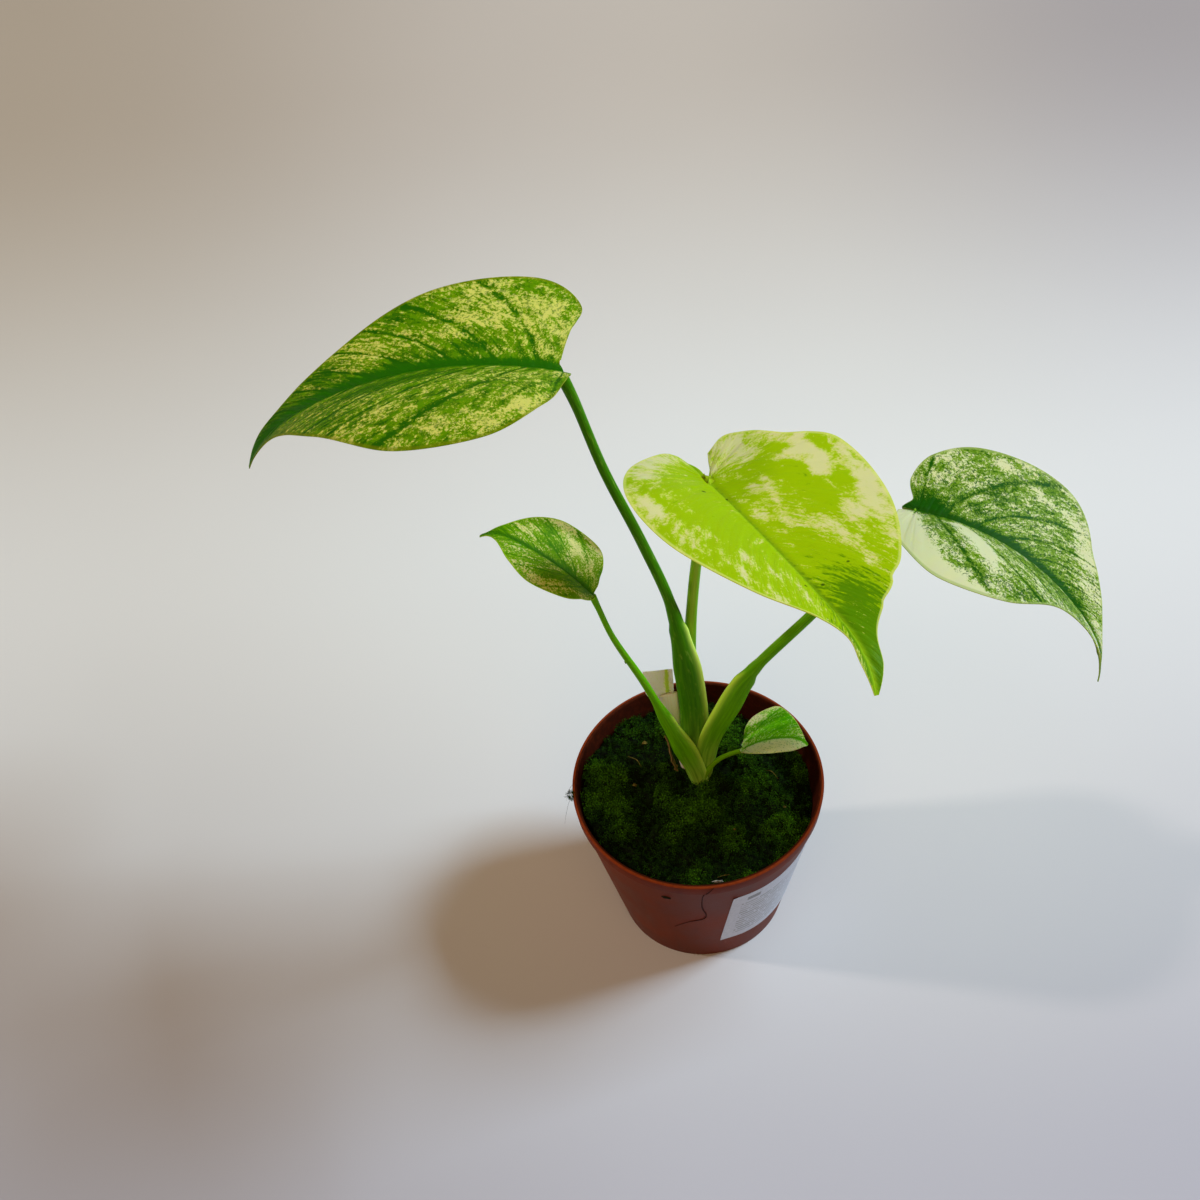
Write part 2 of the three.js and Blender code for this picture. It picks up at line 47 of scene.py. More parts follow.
POT_FOOT_RADIUS = 30 * MM
POT_LIP_RADIUS = 45 * MM
POT_WALL = 1.3 * MM
COLLAR_OVERHANG = 1.4 * MM
COLLAR_DEPTH = 5.5 * MM
COLLAR_STEP = 0.3 * MM
COLLAR_TAPER = 0.6 * MM
LIP_WIDTH = 1.7 * MM
FOOT_RING_WIDTH = 2.6 * MM
FOOT_RECESS = 1.6 * MM
FOOT_PAD_RADIUS = 10 * MM
FLOOR_THICKNESS = 1.6 * MM
DRAIN_HOLES = 8
DRAIN_HOLE_RADIUS = 3 * MM
DRAIN_RING_RADIUS = 18.5 * MM
POT_STEPS = 160
UNDER_COLLAR = POT_HEIGHT - COLLAR_DEPTH
POT_FLOOR = FOOT_RECESS + FLOOR_THICKNESS
WALL_SLOPE = (POT_LIP_RADIUS - COLLAR_OVERHANG - POT_FOOT_RADIUS) / UNDER_COLLAR


def tint(red, green, blue):
    """A colour as a screen shows it, 0 to 255, turned into the linear light that a shader takes."""
    return (*(((c / 255 + 0.055) / 1.055) ** 2.4 for c in (red, green, blue)), 1.0)


class Finish:
    """A material being mixed: its shader, and short ways to add the nodes that feed it."""

    def __init__(self, name, roughness=0.5, **sockets):
        self.material = bpy.data.materials.new(name)
        self.material.use_nodes = True
        self.tree = self.material.node_tree
        self.shader = self.tree.nodes["Principled BSDF"]
        self.place = self.add("TexCoord").outputs["Object"]
        self.shader.inputs["Roughness"].default_value = roughness
        for key, value in sockets.items():
            self.shader.inputs[key.replace("_", " ")].default_value = value

    def feed(self, socket, value):
        if isinstance(value, bpy.types.NodeSocket):
            self.tree.links.new(value, socket)
        else:
            socket.default_value = value

    def add(self, kind, inputs=None, **settings):
        node = self.tree.nodes.new("ShaderNode" + kind)
        for key, value in settings.items():
            setattr(node, key, value)
        for key, value in (inputs or {}).items():
            self.feed(node.inputs[key], value)
        return node

    def calc(self, operation, a, b=0.0, c=0.0):
        return self.add("Math", {0: a, 1: b, 2: c}, operation=operation).outputs[0]

    def times(self, a, b):
        return self.calc("MULTIPLY", a, b)

    def plus(self, a, b):
        return self.calc("ADD", a, b)

    def grain(self, where, scale, detail=2.0, roughness=0.5, distortion=0.0):
        inputs = {"Vector": where, "Scale": scale, "Detail": detail, "Roughness": roughness,
                  "Distortion": distortion}
        return self.add("TexNoise", inputs).outputs[0]

    def cells(self, where, scale, feature="F1"):
        inputs = {"Vector": where, "Scale": scale}
        return self.add("TexVoronoi", inputs, feature=feature).outputs["Distance"]

    def stretch(self, where, scale=(1, 1, 1), location=(0, 0, 0), rotation=(0, 0, 0)):
        inputs = {"Vector": where, "Scale": scale, "Location": location, "Rotation": rotation}
        return self.add("Mapping", inputs).outputs[0]

    def fade(self, value, low, high, start=0.0, end=1.0):
        inputs = {"Value": value, "From Min": low, "From Max": high, "To Min": start, "To Max": end}
        return self.add("MapRange", inputs, interpolation_type="SMOOTHSTEP").outputs[0]

    def blend(self, share, a, b, kind="MIX"):
        inputs = {0: share, 6: a, 7: b}
        return self.add("Mix", inputs, data_type="RGBA", blend_type=kind).outputs[2]

    def layers(self, colour, rows, kind="MIX"):
        """Lays colours over each other, from rows of where each shows and the colour."""
        for share, laid in rows:
            colour = self.blend(share, colour, laid, kind)
        return colour

    def attribute(self, name):
        return self.add("Attribute", attribute_name=name).outputs["Vector"]

    def split(self, vector):
        return self.add("SeparateXYZ", {0: vector}).outputs

    def join(self, x=0.0, y=0.0, z=0.0):
        return self.add("CombineXYZ", {0: x, 1: y, 2: z}).outputs[0]

    def relief(self, height, distance, under=None):
        inputs = {"Height": height, "Distance": distance}
        if under:
            inputs["Normal"] = under
        return self.add("Bump", inputs).outputs[0]

    def coat(self, colour=None, roughness=None, normal=None):
        for key, value in {"Base Color": colour, "Roughness": roughness, "Normal": normal}.items():
            if value is not None:
                self.feed(self.shader.inputs[key], value)
        return self.material


def set_down(bm, name, material, stands_for=None, sharp=None):
    """Makes the mesh a piece of the plant, smooth but for edges sharper than the angle given."""
    mesh = bpy.data.meshes.new(name)
    bm.to_mesh(mesh)
    bm.free()
    for polygon in mesh.polygons:
        polygon.use_smooth = True
    if sharp:
        mesh.set_sharp_from_angle(angle=math.radians(sharp))
    mesh.materials.append(material)
    piece = bpy.data.objects.new(name, mesh)
    bpy.context.collection.objects.link(piece)
    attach(piece, "root")
    if stands_for:
        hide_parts(stands_for)
    return piece


def wall_radius(z):
    return POT_FOOT_RADIUS + WALL_SLOPE * z


def turned(profile, steps):
    """Spins a profile of [radius, height, rounding] round the pot's axis into a closed smooth shell."""
    bm = bmesh.new()
    corners = [bm.verts.new((r, 0, z)) for r, z, _ in profile]
    for a, b in zip(corners, corners[1:]):
        bm.edges.new((a, b))
    rounded = [(vert, rounding) for vert, (_, _, rounding) in zip(corners, profile) if rounding]
    for vert, rounding in rounded:
        bmesh.ops.bevel(bm, geom=[vert], offset=rounding, offset_type="OFFSET", affect="VERTICES",
                        segments=4, profile=0.5, material=-1)
    bmesh.ops.spin(bm, geom=bm.verts[:] + bm.edges[:], cent=(0, 0, 0), axis=(0, 0, 1),
                   angle=2 * math.pi, steps=steps, use_merge=True)
    bmesh.ops.remove_doubles(bm, verts=bm.verts, dist=1e-6)
    bmesh.ops.recalc_face_normals(bm, faces=bm.faces)
    return bm


def terracotta_plastic():
    """Satin brown-orange plastic with a fine grain, dust at the foot, scuffs, a lip top made paler by
    wear and a painted highlight, and a darker inside that is painted shade with some soil stain.
    """
    skin = Finish("terracotta_plastic", Specular_IOR_Level=0.06)
    x, y, height = skin.split(skin.place)
    cloud = skin.grain(skin.place, 45, 3, 0.55)
    flow = skin.grain(skin.stretch(skin.place, (1, 1, 0.08)), 240, 2)
    dust = skin.grain(skin.place, 420, 4, 0.7)
    dusty = skin.times(skin.fade(dust, 0.52, 0.72), skin.fade(height, 0.0, 0.035, 0.2, 0.05))
    scratch_at = skin.stretch(skin.place, (1, 1, 5), rotation=(0.3, 0.2, 0))
    scuffs = skin.fade(skin.cells(scratch_at, 55, "DISTANCE_TO_EDGE"), 0.0, 0.012, 1.0, 0.0)
    scuffed = skin.times(scuffs, skin.fade(cloud, 0.5, 0.66))
    radius = skin.calc("SQRT", skin.plus(skin.times(x, x), skin.times(y, y)))
    depth = skin.calc("SUBTRACT", skin.calc("MULTIPLY_ADD", height, WALL_SLOPE, POT_FOOT_RADIUS), radius)
    # Painted shade with some soil stain: the inner wall is darkened below the rim.
    inside = skin.times(skin.fade(depth, 0.5 * MM, 0.9 * MM), skin.fade(height, 3 * MM, 4 * MM))
    lip = skin.fade(height, POT_HEIGHT - 0.8 * MM, POT_HEIGHT - 0.2 * MM)
    # Partly wear and partly a painted highlight: the top of the lip is paler.
    lip_wear_and_highlight = skin.times(lip, skin.fade(dust, 0.3, 0.6, 0.5, 1.0))
    colour = skin.layers(tint(98, 33, 11), [
        (skin.fade(cloud, 0.35, 0.7), tint(116, 43, 17)),
        (skin.fade(flow, 0.5, 0.8, 0.0, 0.3), tint(78, 26, 10)),
        (dusty, tint(132, 86, 60)),
        (skin.times(scuffed, 0.2), tint(160, 110, 88)),
        (skin.times(lip_wear_and_highlight, 0.7), tint(156, 66, 26)),
        (skin.times(inside, skin.fade(dust, 0.3, 0.6, 0.65, 0.9)), tint(46, 16, 7)),
    ])
    gloss = skin.plus(skin.fade(cloud, 0.3, 0.7, 0.42, 0.52), skin.times(dusty, 0.4))
    gloss = skin.plus(gloss, skin.times(inside, 0.3))
    grain = skin.relief(skin.grain(skin.place, 1800, 2), 0.03 * MM)
    ripple = skin.relief(skin.grain(skin.stretch(skin.place, (1, 1, 0.3)), 90, 1), 0.12 * MM, grain)
    return skin.coat(colour, gloss, ripple)


def bored(bm, tools):
    """Cuts a row of drills out of a shell and gives the cut shell back."""
    blanks = []
    for name, made in (("blank", bm), ("drills", tools)):
        mesh = bpy.data.meshes.new(name)
        made.to_mesh(mesh)
        made.free()
        blanks.append(bpy.data.objects.new(name, mesh))
        bpy.context.collection.objects.link(blanks[-1])
    cut = blanks[0].modifiers.new("cut", "BOOLEAN")
    cut.object = blanks[1]
    cut.solver = "EXACT"
    cut.operation = "DIFFERENCE"
    bpy.context.view_layer.update()
    shell = bmesh.new()
    shell.from_object(blanks[0], bpy.context.evaluated_depsgraph_get())
    for blank in blanks:
        bpy.data.objects.remove(blank)
    return shell


def inner_radius(z):
    return wall_radius(z) - POT_WALL


pot_profile = [
    (0, 0, 0), (FOOT_PAD_RADIUS, 0, 0.3 * MM), (FOOT_PAD_RADIUS + 0.6 * MM, FOOT_RECESS, 0.3 * MM),
    (POT_FOOT_RADIUS - FOOT_RING_WIDTH - 0.6 * MM, FOOT_RECESS, 0.3 * MM),
    (POT_FOOT_RADIUS - FOOT_RING_WIDTH, 0, 0.3 * MM), (POT_FOOT_RADIUS, 0, 0.7 * MM),
    (wall_radius(UNDER_COLLAR), UNDER_COLLAR, 0.15 * MM),
    (POT_LIP_RADIUS - COLLAR_TAPER, UNDER_COLLAR + COLLAR_STEP, 0.3 * MM),
    (POT_LIP_RADIUS, POT_HEIGHT, 0.6 * MM), (POT_LIP_RADIUS - LIP_WIDTH, POT_HEIGHT, 0.5 * MM),
    (inner_radius(UNDER_COLLAR), UNDER_COLLAR, 0.8 * MM), (inner_radius(POT_FLOOR), POT_FLOOR, 1.2 * MM),
    (0, POT_FLOOR, 0),
]
drills = bmesh.new()
for i in range(DRAIN_HOLES):
    turn = 2 * math.pi * (i + 0.5) / DRAIN_HOLES
    centre = (DRAIN_RING_RADIUS * math.cos(turn), DRAIN_RING_RADIUS * math.sin(turn), POT_FLOOR / 2)
    bmesh.ops.create_cone(drills, cap_ends=True, segments=24, radius1=DRAIN_HOLE_RADIUS,
                          radius2=DRAIN_HOLE_RADIUS, depth=3 * POT_FLOOR,
                          matrix=Matrix.Translation(centre))
pot = bored(turned(pot_profile, POT_STEPS), drills)
set_down(pot, "pot_shell", terracotta_plastic(), "pot", 40)

# The sticker: a small straight-sided sheet of white coated paper, stuck on the wall a little askew. The
# wall is a cone, so the sheet's side edges lean away from it and its top and bottom edges bow.
LABEL_WIDTH = 44 * MM
LABEL_TALL = 40.5 * MM
LABEL_AZIMUTH = math.radians(-47)
LABEL_MIDDLE = 34.7 * MM
LABEL_ASKEW = math.radians(2.2)
LABEL_PAPER = 0.16 * MM
LABEL_CURL = 0.35 * MM
PRINT_ROW = 0.052


def printed_paper():
    """White coated paper with plain grey ruled bars, a darker bar above them, and a soft mottle."""
    skin = Finish("label_paper", roughness=0.38)
    sheet = skin.add("UVMap", uv_map="sheet").outputs[0]
    across, up, _ = skin.split(sheet)
    worn = skin.grain(sheet, 34, 4, 0.6)
    bricks = {"Vector": skin.stretch(sheet, location=(0.013, 0.02, 0)), "Scale": 1.0,
              "Color1": (1, 1, 1, 1), "Color2": (0.45, 0.45, 0.45, 1), "Mortar": (0, 0, 0, 1),
              "Mortar Size": 0.009, "Mortar Smooth": 0.2, "Brick Width": 0.19, "Row Height": PRINT_ROW}
    words = skin.add("TexBrick", bricks, offset=0.37, squash=0.7, squash_frequency=3).outputs[0]
    lines = skin.calc("LESS_THAN", skin.calc("FRACT", skin.times(up, 1 / PRINT_ROW)), 0.72)
    margin = skin.times(skin.fade(across, 0.09, 0.1), skin.fade(across, 0.3, 0.86, 1.0, 0.35))
    body = skin.times(skin.fade(up, 0.1, 0.105), skin.fade(up, 0.8, 0.805, 1.0, 0.0))
    print_ink = skin.times(skin.times(skin.split(words)[0], lines), skin.times(margin, body))
    block_across = skin.times(skin.fade(across, 0.13, 0.14), skin.fade(across, 0.25, 0.26, 1.0, 0.0))
    block_up = skin.times(skin.fade(up, 0.855, 0.86), skin.fade(up, 0.925, 0.93, 1.0, 0.0))
    heading = skin.times(block_across, block_up)
    colour = skin.layers(tint(198, 204, 220), [
        (skin.fade(worn, 0.35, 0.75), tint(180, 187, 205)),
        (skin.times(print_ink, 0.75), tint(92, 98, 102)),
        (skin.times(heading, 0.75), tint(62, 64, 70)),
    ])
    return skin.coat(colour, None, skin.relief(worn, 0.05 * MM))


def label_sheet():
    bm = bmesh.new()
    bmesh.ops.create_grid(bm, x_segments=72, y_segments=40, size=0.5)
    sheet = bm.loops.layers.uv.new("sheet")
    for face in bm.faces:
        for loop in face.loops:
            loop[sheet].uv = (loop.vert.co.x + 0.5, loop.vert.co.y + 0.5)
    flare = math.atan(WALL_SLOPE)
    apex = -POT_FOOT_RADIUS / WALL_SLOPE
    middle = (LABEL_MIDDLE - apex) / math.cos(flare)
    for vert in bm.verts:
        s, t = vert.co.x * LABEL_WIDTH, vert.co.y * LABEL_TALL
        across = s * math.cos(LABEL_ASKEW) - t * math.sin(LABEL_ASKEW)
        up = middle + s * math.sin(LABEL_ASKEW) + t * math.cos(LABEL_ASKEW)
        angle = LABEL_AZIMUTH + math.atan2(across, up) / math.sin(flare)
        z = apex + math.hypot(up, across) * math.cos(flare)
        corner = max(0, abs(vert.co.x) + abs(vert.co.y) - 0.9) * 10
        radius = wall_radius(z) + LABEL_PAPER + LABEL_CURL * corner * corner
        radius += 0.05 * MM * noise.noise(Vector((s, 0, t)) * 260)
        vert.co = (radius * math.cos(angle), radius * math.sin(angle), z)
    bmesh.ops.recalc_face_normals(bm, faces=bm.faces)
    if sum(face.normal.dot(face.calc_center_median()) for face in bm.faces) < 0:
        bmesh.ops.reverse_faces(bm, faces=bm.faces)
    bmesh.ops.solidify(bm, geom=bm.faces[:], thickness=LABEL_PAPER)
    return bm


set_down(label_sheet(), "label_sheet", printed_paper(), "label", 50)

# The soil: dark crumbly potting soil that fills the pot up to the moss. It shows only through the drain
# holes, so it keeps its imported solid, with crumbs and flecks of bark in its surface.
def potting_soil():
    skin = Finish("potting_soil", roughness=0.95, Specular_IOR_Level=0.2)
    crumbs = skin.cells(skin.place, 700)
    flecks = skin.grain(skin.place, 900, 4, 0.7)
    colour = skin.layers(tint(52, 38, 28), [
        (skin.fade(crumbs, 0.1, 0.6), tint(22, 15, 10)),
        (skin.fade(flecks, 0.62, 0.7), tint(92, 70, 50)),
    ])
    return skin.coat(colour, None, skin.relief(crumbs, 1.2 * MM))


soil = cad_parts["soil"]
soil.data.materials.clear()
soil.data.materials.append(potting_soil())

# The moss: a soft cushion laid on the soil, painted dark in its hollows as shade, with feathery shoots
# standing out of it and brighter young tufts towards the front and the right. It is pressed against the
# wall below the rim.
MOSS_EDGE = 60.5 * MM
MOSS_FOOT = 50.3 * MM
MOSS_CROWN = 3.5 * MM
MOSS_TILT = 4 * MM
MOSS_LOW_SIDE = math.radians(30)
MOSS_EDGE_DIP = 2.5 * MM
MOSS_TUFT = 1.3 * MM
MOSS_TUFT_SPACING = 11 * MM
MOSS_WANDER = 1.3
MOSS_WANDER_SPACING = 25 * MM
MOSS_LUMP = 1.7 * MM
MOSS_LUMPS_PER_METRE = 105
MOSS_CREEP = 3.2 * MM
MOSS_CREEP_SIDE = math.radians(200)
MOSS_REACH = inner_radius(MOSS_EDGE) + 0.1 * MM
MOSS_FINE_LUMPS_PER_METRE = 260
MOSS_CREEP_FROM = 0.78
SHOOT_LENGTH = 4.8 * MM
SHOOT_SUNK = 0.4
COMMON_SHOOTS = 5600
YOUNG_SHOOTS = 2600
LEAFLETS = 11
LEAFLET_LENGTH = 0.44
LEAFLET_HALF_WIDTH = 0.05
LEAFLET_TURN = 2.4


def moss_height(x, y):
    share = math.hypot(x, y) / POT_LIP_RADIUS
    tilt = MOSS_TILT * (x * math.cos(MOSS_LOW_SIDE) + y * math.sin(MOSS_LOW_SIDE)) / POT_LIP_RADIUS
    pitch = 2 * math.pi / MOSS_TUFT_SPACING

    def wander(at):
        return MOSS_WANDER * math.sin(2 * math.pi * at / MOSS_WANDER_SPACING)

    tufts = math.sin(pitch * x + wander(y)) * math.sin(pitch * y + wander(x))
    return (MOSS_EDGE + MOSS_CROWN * (1 - share * share) - tilt + MOSS_TUFT * tufts
            - MOSS_EDGE_DIP * share ** 10)


def moss_lump(x, y):
    """How high the cushion's own lumps stand at a place, about -1 to 1."""
    return 1.6 * noise.noise(Vector((x, y, 0.7)) * MOSS_LUMPS_PER_METRE)


def moss_surface(x, y):
    """The cushion's top with its lumps and hollows, creeping up the wall on one side."""
    fine = noise.fractal(Vector((x, y, 0)) * MOSS_FINE_LUMPS_PER_METRE, 0.7, 2.1, 3)
    lump = moss_lump(x, y) + 0.5 * fine
    side = 0.5 + 0.5 * math.cos(math.atan2(y, x) - MOSS_CREEP_SIDE)
    edge = max(0.0, math.hypot(x, y) / MOSS_REACH - MOSS_CREEP_FROM) / (1 - MOSS_CREEP_FROM)
    return moss_height(x, y) + MOSS_LUMP * lump + MOSS_CREEP * side * edge


def moss_green():
    """Fine moss: nearly black in its depth as painted shade, fresh green at the shoots' tips."""
    skin = Finish("moss_green", roughness=0.85, Specular_IOR_Level=0.08)
    bits = skin.grain(skin.place, 900, 2, 0.6)
    tip, fresh, _ = skin.split(skin.attribute("shoot"))
    # Painted shade: the cushion and the shoots' lower parts are nearly black, standing in for the shade
    # deep in the moss.
    deep = skin.blend(skin.fade(bits, 0.35, 0.7), tint(6, 10, 1), tint(20, 36, 3))
    grown = skin.blend(fresh, tint(30, 66, 3), tint(104, 176, 12))
    grown = skin.blend(skin.fade(bits, 0.5, 0.8, 0.0, 0.25), grown, tint(74, 78, 12))
    colour = skin.blend(tip, deep, grown)
    return skin.coat(colour, None, skin.relief(bits, 0.4 * MM))


def moss_cushion():
    bm = bmesh.new()
    bmesh.ops.create_grid(bm, x_segments=220, y_segments=220, size=MOSS_REACH)
    outside = [v for v in bm.verts if v.co.length > MOSS_REACH]
    bmesh.ops.delete(bm, geom=outside, context="VERTS")
    for vert in bm.verts:
        vert.co.z = moss_surface(vert.co.x, vert.co.y)
    rim = [e for e in bm.edges if e.is_boundary]
    skirt = bmesh.ops.extrude_edge_only(bm, edges=rim)["geom"]
    for vert in [g for g in skirt if isinstance(g, bmesh.types.BMVert)]:
        spread = (inner_radius(MOSS_FOOT) - 0.3 * MM) / MOSS_REACH
        vert.co = (vert.co.x * spread, vert.co.y * spread, MOSS_FOOT)
    bmesh.ops.holes_fill(bm, edges=[e for e in bm.edges if e.is_boundary])
    bmesh.ops.recalc_face_normals(bm, faces=bm.faces)
    return bm


def moss_shoot(leaflets):
    """One feathery shoot, 1 long along Z: narrow leaflets all round a bent axis."""
    bm = bmesh.new()
    shoot = bm.verts.layers.float_vector.new("shoot")
    for i in range(leaflets):
        rise = (i + 0.3) / leaflets
        length = LEAFLET_LENGTH * (1 - 0.5 * rise)
        turn = i * LEAFLET_TURN
        out = Vector((math.cos(turn), math.sin(turn), 0))
        side = Vector((-math.sin(turn), math.cos(turn), 0)) * LEAFLET_HALF_WIDTH
        root = Vector((0.12 * rise * rise, 0, rise * 0.8))
        bend = root + out * length * 0.55 + Vector((0, 0, length * 0.55))
        tip = root + out * length + Vector((0, 0, length * 0.6))
        corners = [bm.verts.new(p) for p in (root, bend - side, tip, bend + side)]
        for corner, share in zip(corners, (0.05, 0.5, 1.0, 0.5)):
            corner[shoot] = (share * (0.35 + 0.65 * rise), 0, 0)
        bm.faces.new(corners)
    return bm


def planted(shoot, places, dice):
    """Copies of one shoot stood at their places, each with its own turn, lean, size and freshness."""
    bm = bmesh.new()
    pattern = bpy.data.meshes.new("moss_shoot")
    layer = shoot.verts.layers.float_vector["shoot"]
    for at, size, fresh in places:
        lean = Euler((dice.gauss(0, 0.5), dice.gauss(0, 0.5), dice.uniform(0, 2 * math.pi)))
        for vert in shoot.verts:
            vert[layer].y = fresh
        shoot.to_mesh(pattern)
        pattern.transform(Matrix.Translation(at) @ lean.to_matrix().to_4x4() @ Matrix.Scale(size, 4))
        bm.from_mesh(pattern)
    bpy.data.meshes.remove(pattern)
    return bm


def kept_inside(bm):
    """Presses whatever would stand through the wall back against its inner face."""
    for vert in bm.verts:
        away = math.hypot(vert.co.x, vert.co.y)
        reach = inner_radius(min(vert.co.z, UNDER_COLLAR)) - 0.15 * MM
        if away > reach:
            vert.co.x *= reach / away
            vert.co.y *= reach / away
    return bm


def moss_places(count, dice, growth):
    """Random places where the cushion should grow, with each shoot's size and freshness."""
    places = []
    while len(places) < count:
        radius = (MOSS_REACH - 0.6 * MM) * math.sqrt(dice.random())
        turn = dice.uniform(0, 2 * math.pi)
        x, y = radius * math.cos(turn), radius * math.sin(turn)
        wanted, fresh = growth(x, y)
        if dice.random() > wanted:
            continue
        size = SHOOT_LENGTH * dice.uniform(0.5, 1.0) * (0.5 + 0.5 * wanted)
        fresh = max(0.0, min(1.0, fresh + dice.gauss(0, 0.08)))
        places.append((Vector((x, y, moss_surface(x, y) - SHOOT_SUNK * size)), size, fresh))
    return places


def common_growth(x, y):
    """Shoots all over, thinner and duller in the hollows."""
    lump = moss_lump(x, y)
    return 0.55 + 0.45 * max(0.0, min(1.0, 0.5 + lump)), 0.12 + 0.3 * max(0.0, lump)


def young_growth(x, y):
    """Fresh clumps on the lumps' tops, most of them at the front and the right."""
    lump = moss_lump(x, y)
    front = 0.75 - 7 * y + 4 * x
    wanted = max(0.0, min(1.0, (lump + 0.05) * 2.2 * front))
    return wanted, 0.3 + 0.5 * wanted


moss_skin = moss_green()
moss_dice = random.Random(7)
shoot = moss_shoot(LEAFLETS)
set_down(moss_cushion(), "moss_cushion", moss_skin, "moss")
common = planted(shoot, moss_places(COMMON_SHOOTS, moss_dice, common_growth), moss_dice)
young = planted(shoot, moss_places(YOUNG_SHOOTS, moss_dice, young_growth), moss_dice)
set_down(kept_inside(common), "moss_shoots", moss_skin)
set_down(kept_inside(young), "moss_tufts", moss_skin)

# The stem and the stalks: a short green-brown stem stands in the soil, and every leaf's smooth stalk
# grows from it. A stalk's foot is a sheath, grooved towards the plant's middle, with pale winged edges.
STEM_ROUTE = [(0.2, 6.6, 30), (-0.4, 7, 46), (0.3, 7.4, 62)]
STEM_RADIUS = 4.6
STEM_GIRTH = [(0, 0.5), (0.2, 0.86), (0.3, 1), (0.4, 0.9), (0.6, 0.9), (0.7, 1.06), (0.8, 0.92),
              (0.94, 0.8), (1, 0.45)]
ROUTE_FINENESS = 40
# How the sheath's groove and its two winged edges lie, in degrees round the stalk.
GROOVE_SPREAD = 30
WING_AT = 58
WING_SPREAD = 22
# Each stalk in millimetres: its route from the stem, its half widths [share of the route, side to side,
# front to back], the way its groove faces, and the share of its length that the sheath reaches up to.
STALKS = {
    "tall_left": {
        "route": [(-0.2, 8.6, 60), (-0.2, 9.6, 80), (0.1, 13, 101), (-4.9, 24, 140), (-13, 32, 165),
                  (-24, 41, 194), (-31.4, 47.8, 220), (-34.6, 50.2, 229.6)],
        "sizes": [(0, 3.4, 3), (0.12, 4.8, 3.4), (0.3, 4.8, 3), (0.4, 3.3, 2.6), (0.425, 2.5, 2.2),
                  (0.48, 1.9, 1.9), (0.9, 1.7, 1.7), (1, 2, 2)],
        "faces": 42, "sheath": 0.42,
    },
    "right": {
        "route": [(2.2, 6.8, 60), (5.2, 7.5, 84), (12, 8.5, 101), (19.5, 10, 116.7), (41.8, 14, 142.4),
                  (59.5, 17.4, 163), (71.4, 19.2, 177.4), (77, 20, 183.2)],
        "sizes": [(0, 2.8, 2.6), (0.14, 3.9, 3), (0.3, 4.5, 3), (0.385, 4, 2.7), (0.42, 2.6, 2.2),
                  (0.46, 2, 1.9), (0.92, 1.5, 1.5), (1, 1.9, 1.9)],
        "faces": 138, "sheath": 0.41,
    },
    "small_left": {
        "route": [(1.6, 3.6, 60), (-0.6, 3.9, 73), (-4.3, 4.7, 85), (-10.3, 6.3, 102.3),
                  (-16.3, 8, 120), (-25.9, 10.6, 144), (-29.8, 12, 158.4), (-31.3, 12.2, 164.6)],
        "sizes": [(0, 2.6, 2.2), (0.1, 3.4, 2.4), (0.22, 4, 2.6), (0.36, 2.7, 2), (0.5, 1.4, 1.3),
                  (0.92, 1, 1), (1, 1.2, 1.2)],
        "faces": 46, "sheath": 0.4,
    },
    "tiny": {
        "route": [(0.8, 2.6, 59), (1, 2.8, 65.2), (4, 4, 70.8), (7.7, 5.6, 73.9), (12.3, 7, 75),
                  (16.9, 8, 75)],
        "sizes": [(0, 1.9, 1.6), (0.35, 1.5, 1.3), (0.6, 1, 0.9), (0.9, 0.8, 0.8), (1, 0.9, 0.9)],
        "faces": 120, "sheath": 0.3,
    },
    "lime": {
        "route": [(0.4, 12.6, 60), (0.3, 14.6, 71), (-0.1, 19, 93.5), (0.6, 23.5, 117),
                  (2.4, 24.5, 144), (4.2, 23.5, 165), (6.6, 20.5, 190), (7.6, 17, 205),
                  (8.9, 13.3, 211.6)],
        "sizes": [(0, 2.6, 2.2), (0.3, 2.3, 2.1), (0.55, 1.9, 1.8), (0.9, 1.6, 1.6), (1, 1.3, 1.2)],
        "faces": -90, "sheath": 0.3,
    },
}


def eased_between(rows, t):
    """The widths at a share of the way, eased from one row of the list to the next."""
    for before, after in zip(rows, rows[1:]):
        if t <= after[0]:
            share = max(0.0, (t - before[0]) / (after[0] - before[0]))
            share = share * share * (3 - 2 * share)
            return [a + (b - a) * share for a, b in zip(before[1:], after[1:])]
    return list(rows[-1][1:])


def even_route(points, steps):
    """Points at even distances along a smooth centripetal curve through the route's points."""
    route = [Vector(p) for p in points]
    route = [2 * route[0] - route[1], *route, 2 * route[-1] - route[-2]]
    fine = []
    for a, b, c, d in zip(route, route[1:], route[2:], route[3:]):
        ab, bc, cd = (math.sqrt((q - p).length) for p, q in ((a, b), (b, c), (c, d)))
        into = ((b - a) / ab - (c - a) / (ab + bc) + (c - b) / bc) * bc
        onward = ((c - b) / bc - (d - b) / (bc + cd) + (d - c) / cd) * bc
        for k in range(ROUTE_FINENESS):
            t = k / ROUTE_FINENESS
            fine.append(b * (2 * t ** 3 - 3 * t ** 2 + 1) + into * (t ** 3 - 2 * t ** 2 + t)
                        + c * (3 * t ** 2 - 2 * t ** 3) + onward * (t ** 3 - t ** 2))
    fine.append(route[-2])
    reach = [0.0]
    for a, b in zip(fine, fine[1:]):
        reach.append(reach[-1] + (b - a).length)
    even, k = [], 0
    for i in range(steps + 1):
        goal = reach[-1] * i / steps
        while k < len(fine) - 2 and reach[k + 1] < goal:
            k += 1
        even.append(fine[k].lerp(fine[k + 1], (goal - reach[k]) / (reach[k + 1] - reach[k])))
    return even, reach[-1]


def smooth_step(value, low, high):
    share = max(0.0, min(1.0, (value - low) / (high - low)))
    return share * share * (3 - 2 * share)


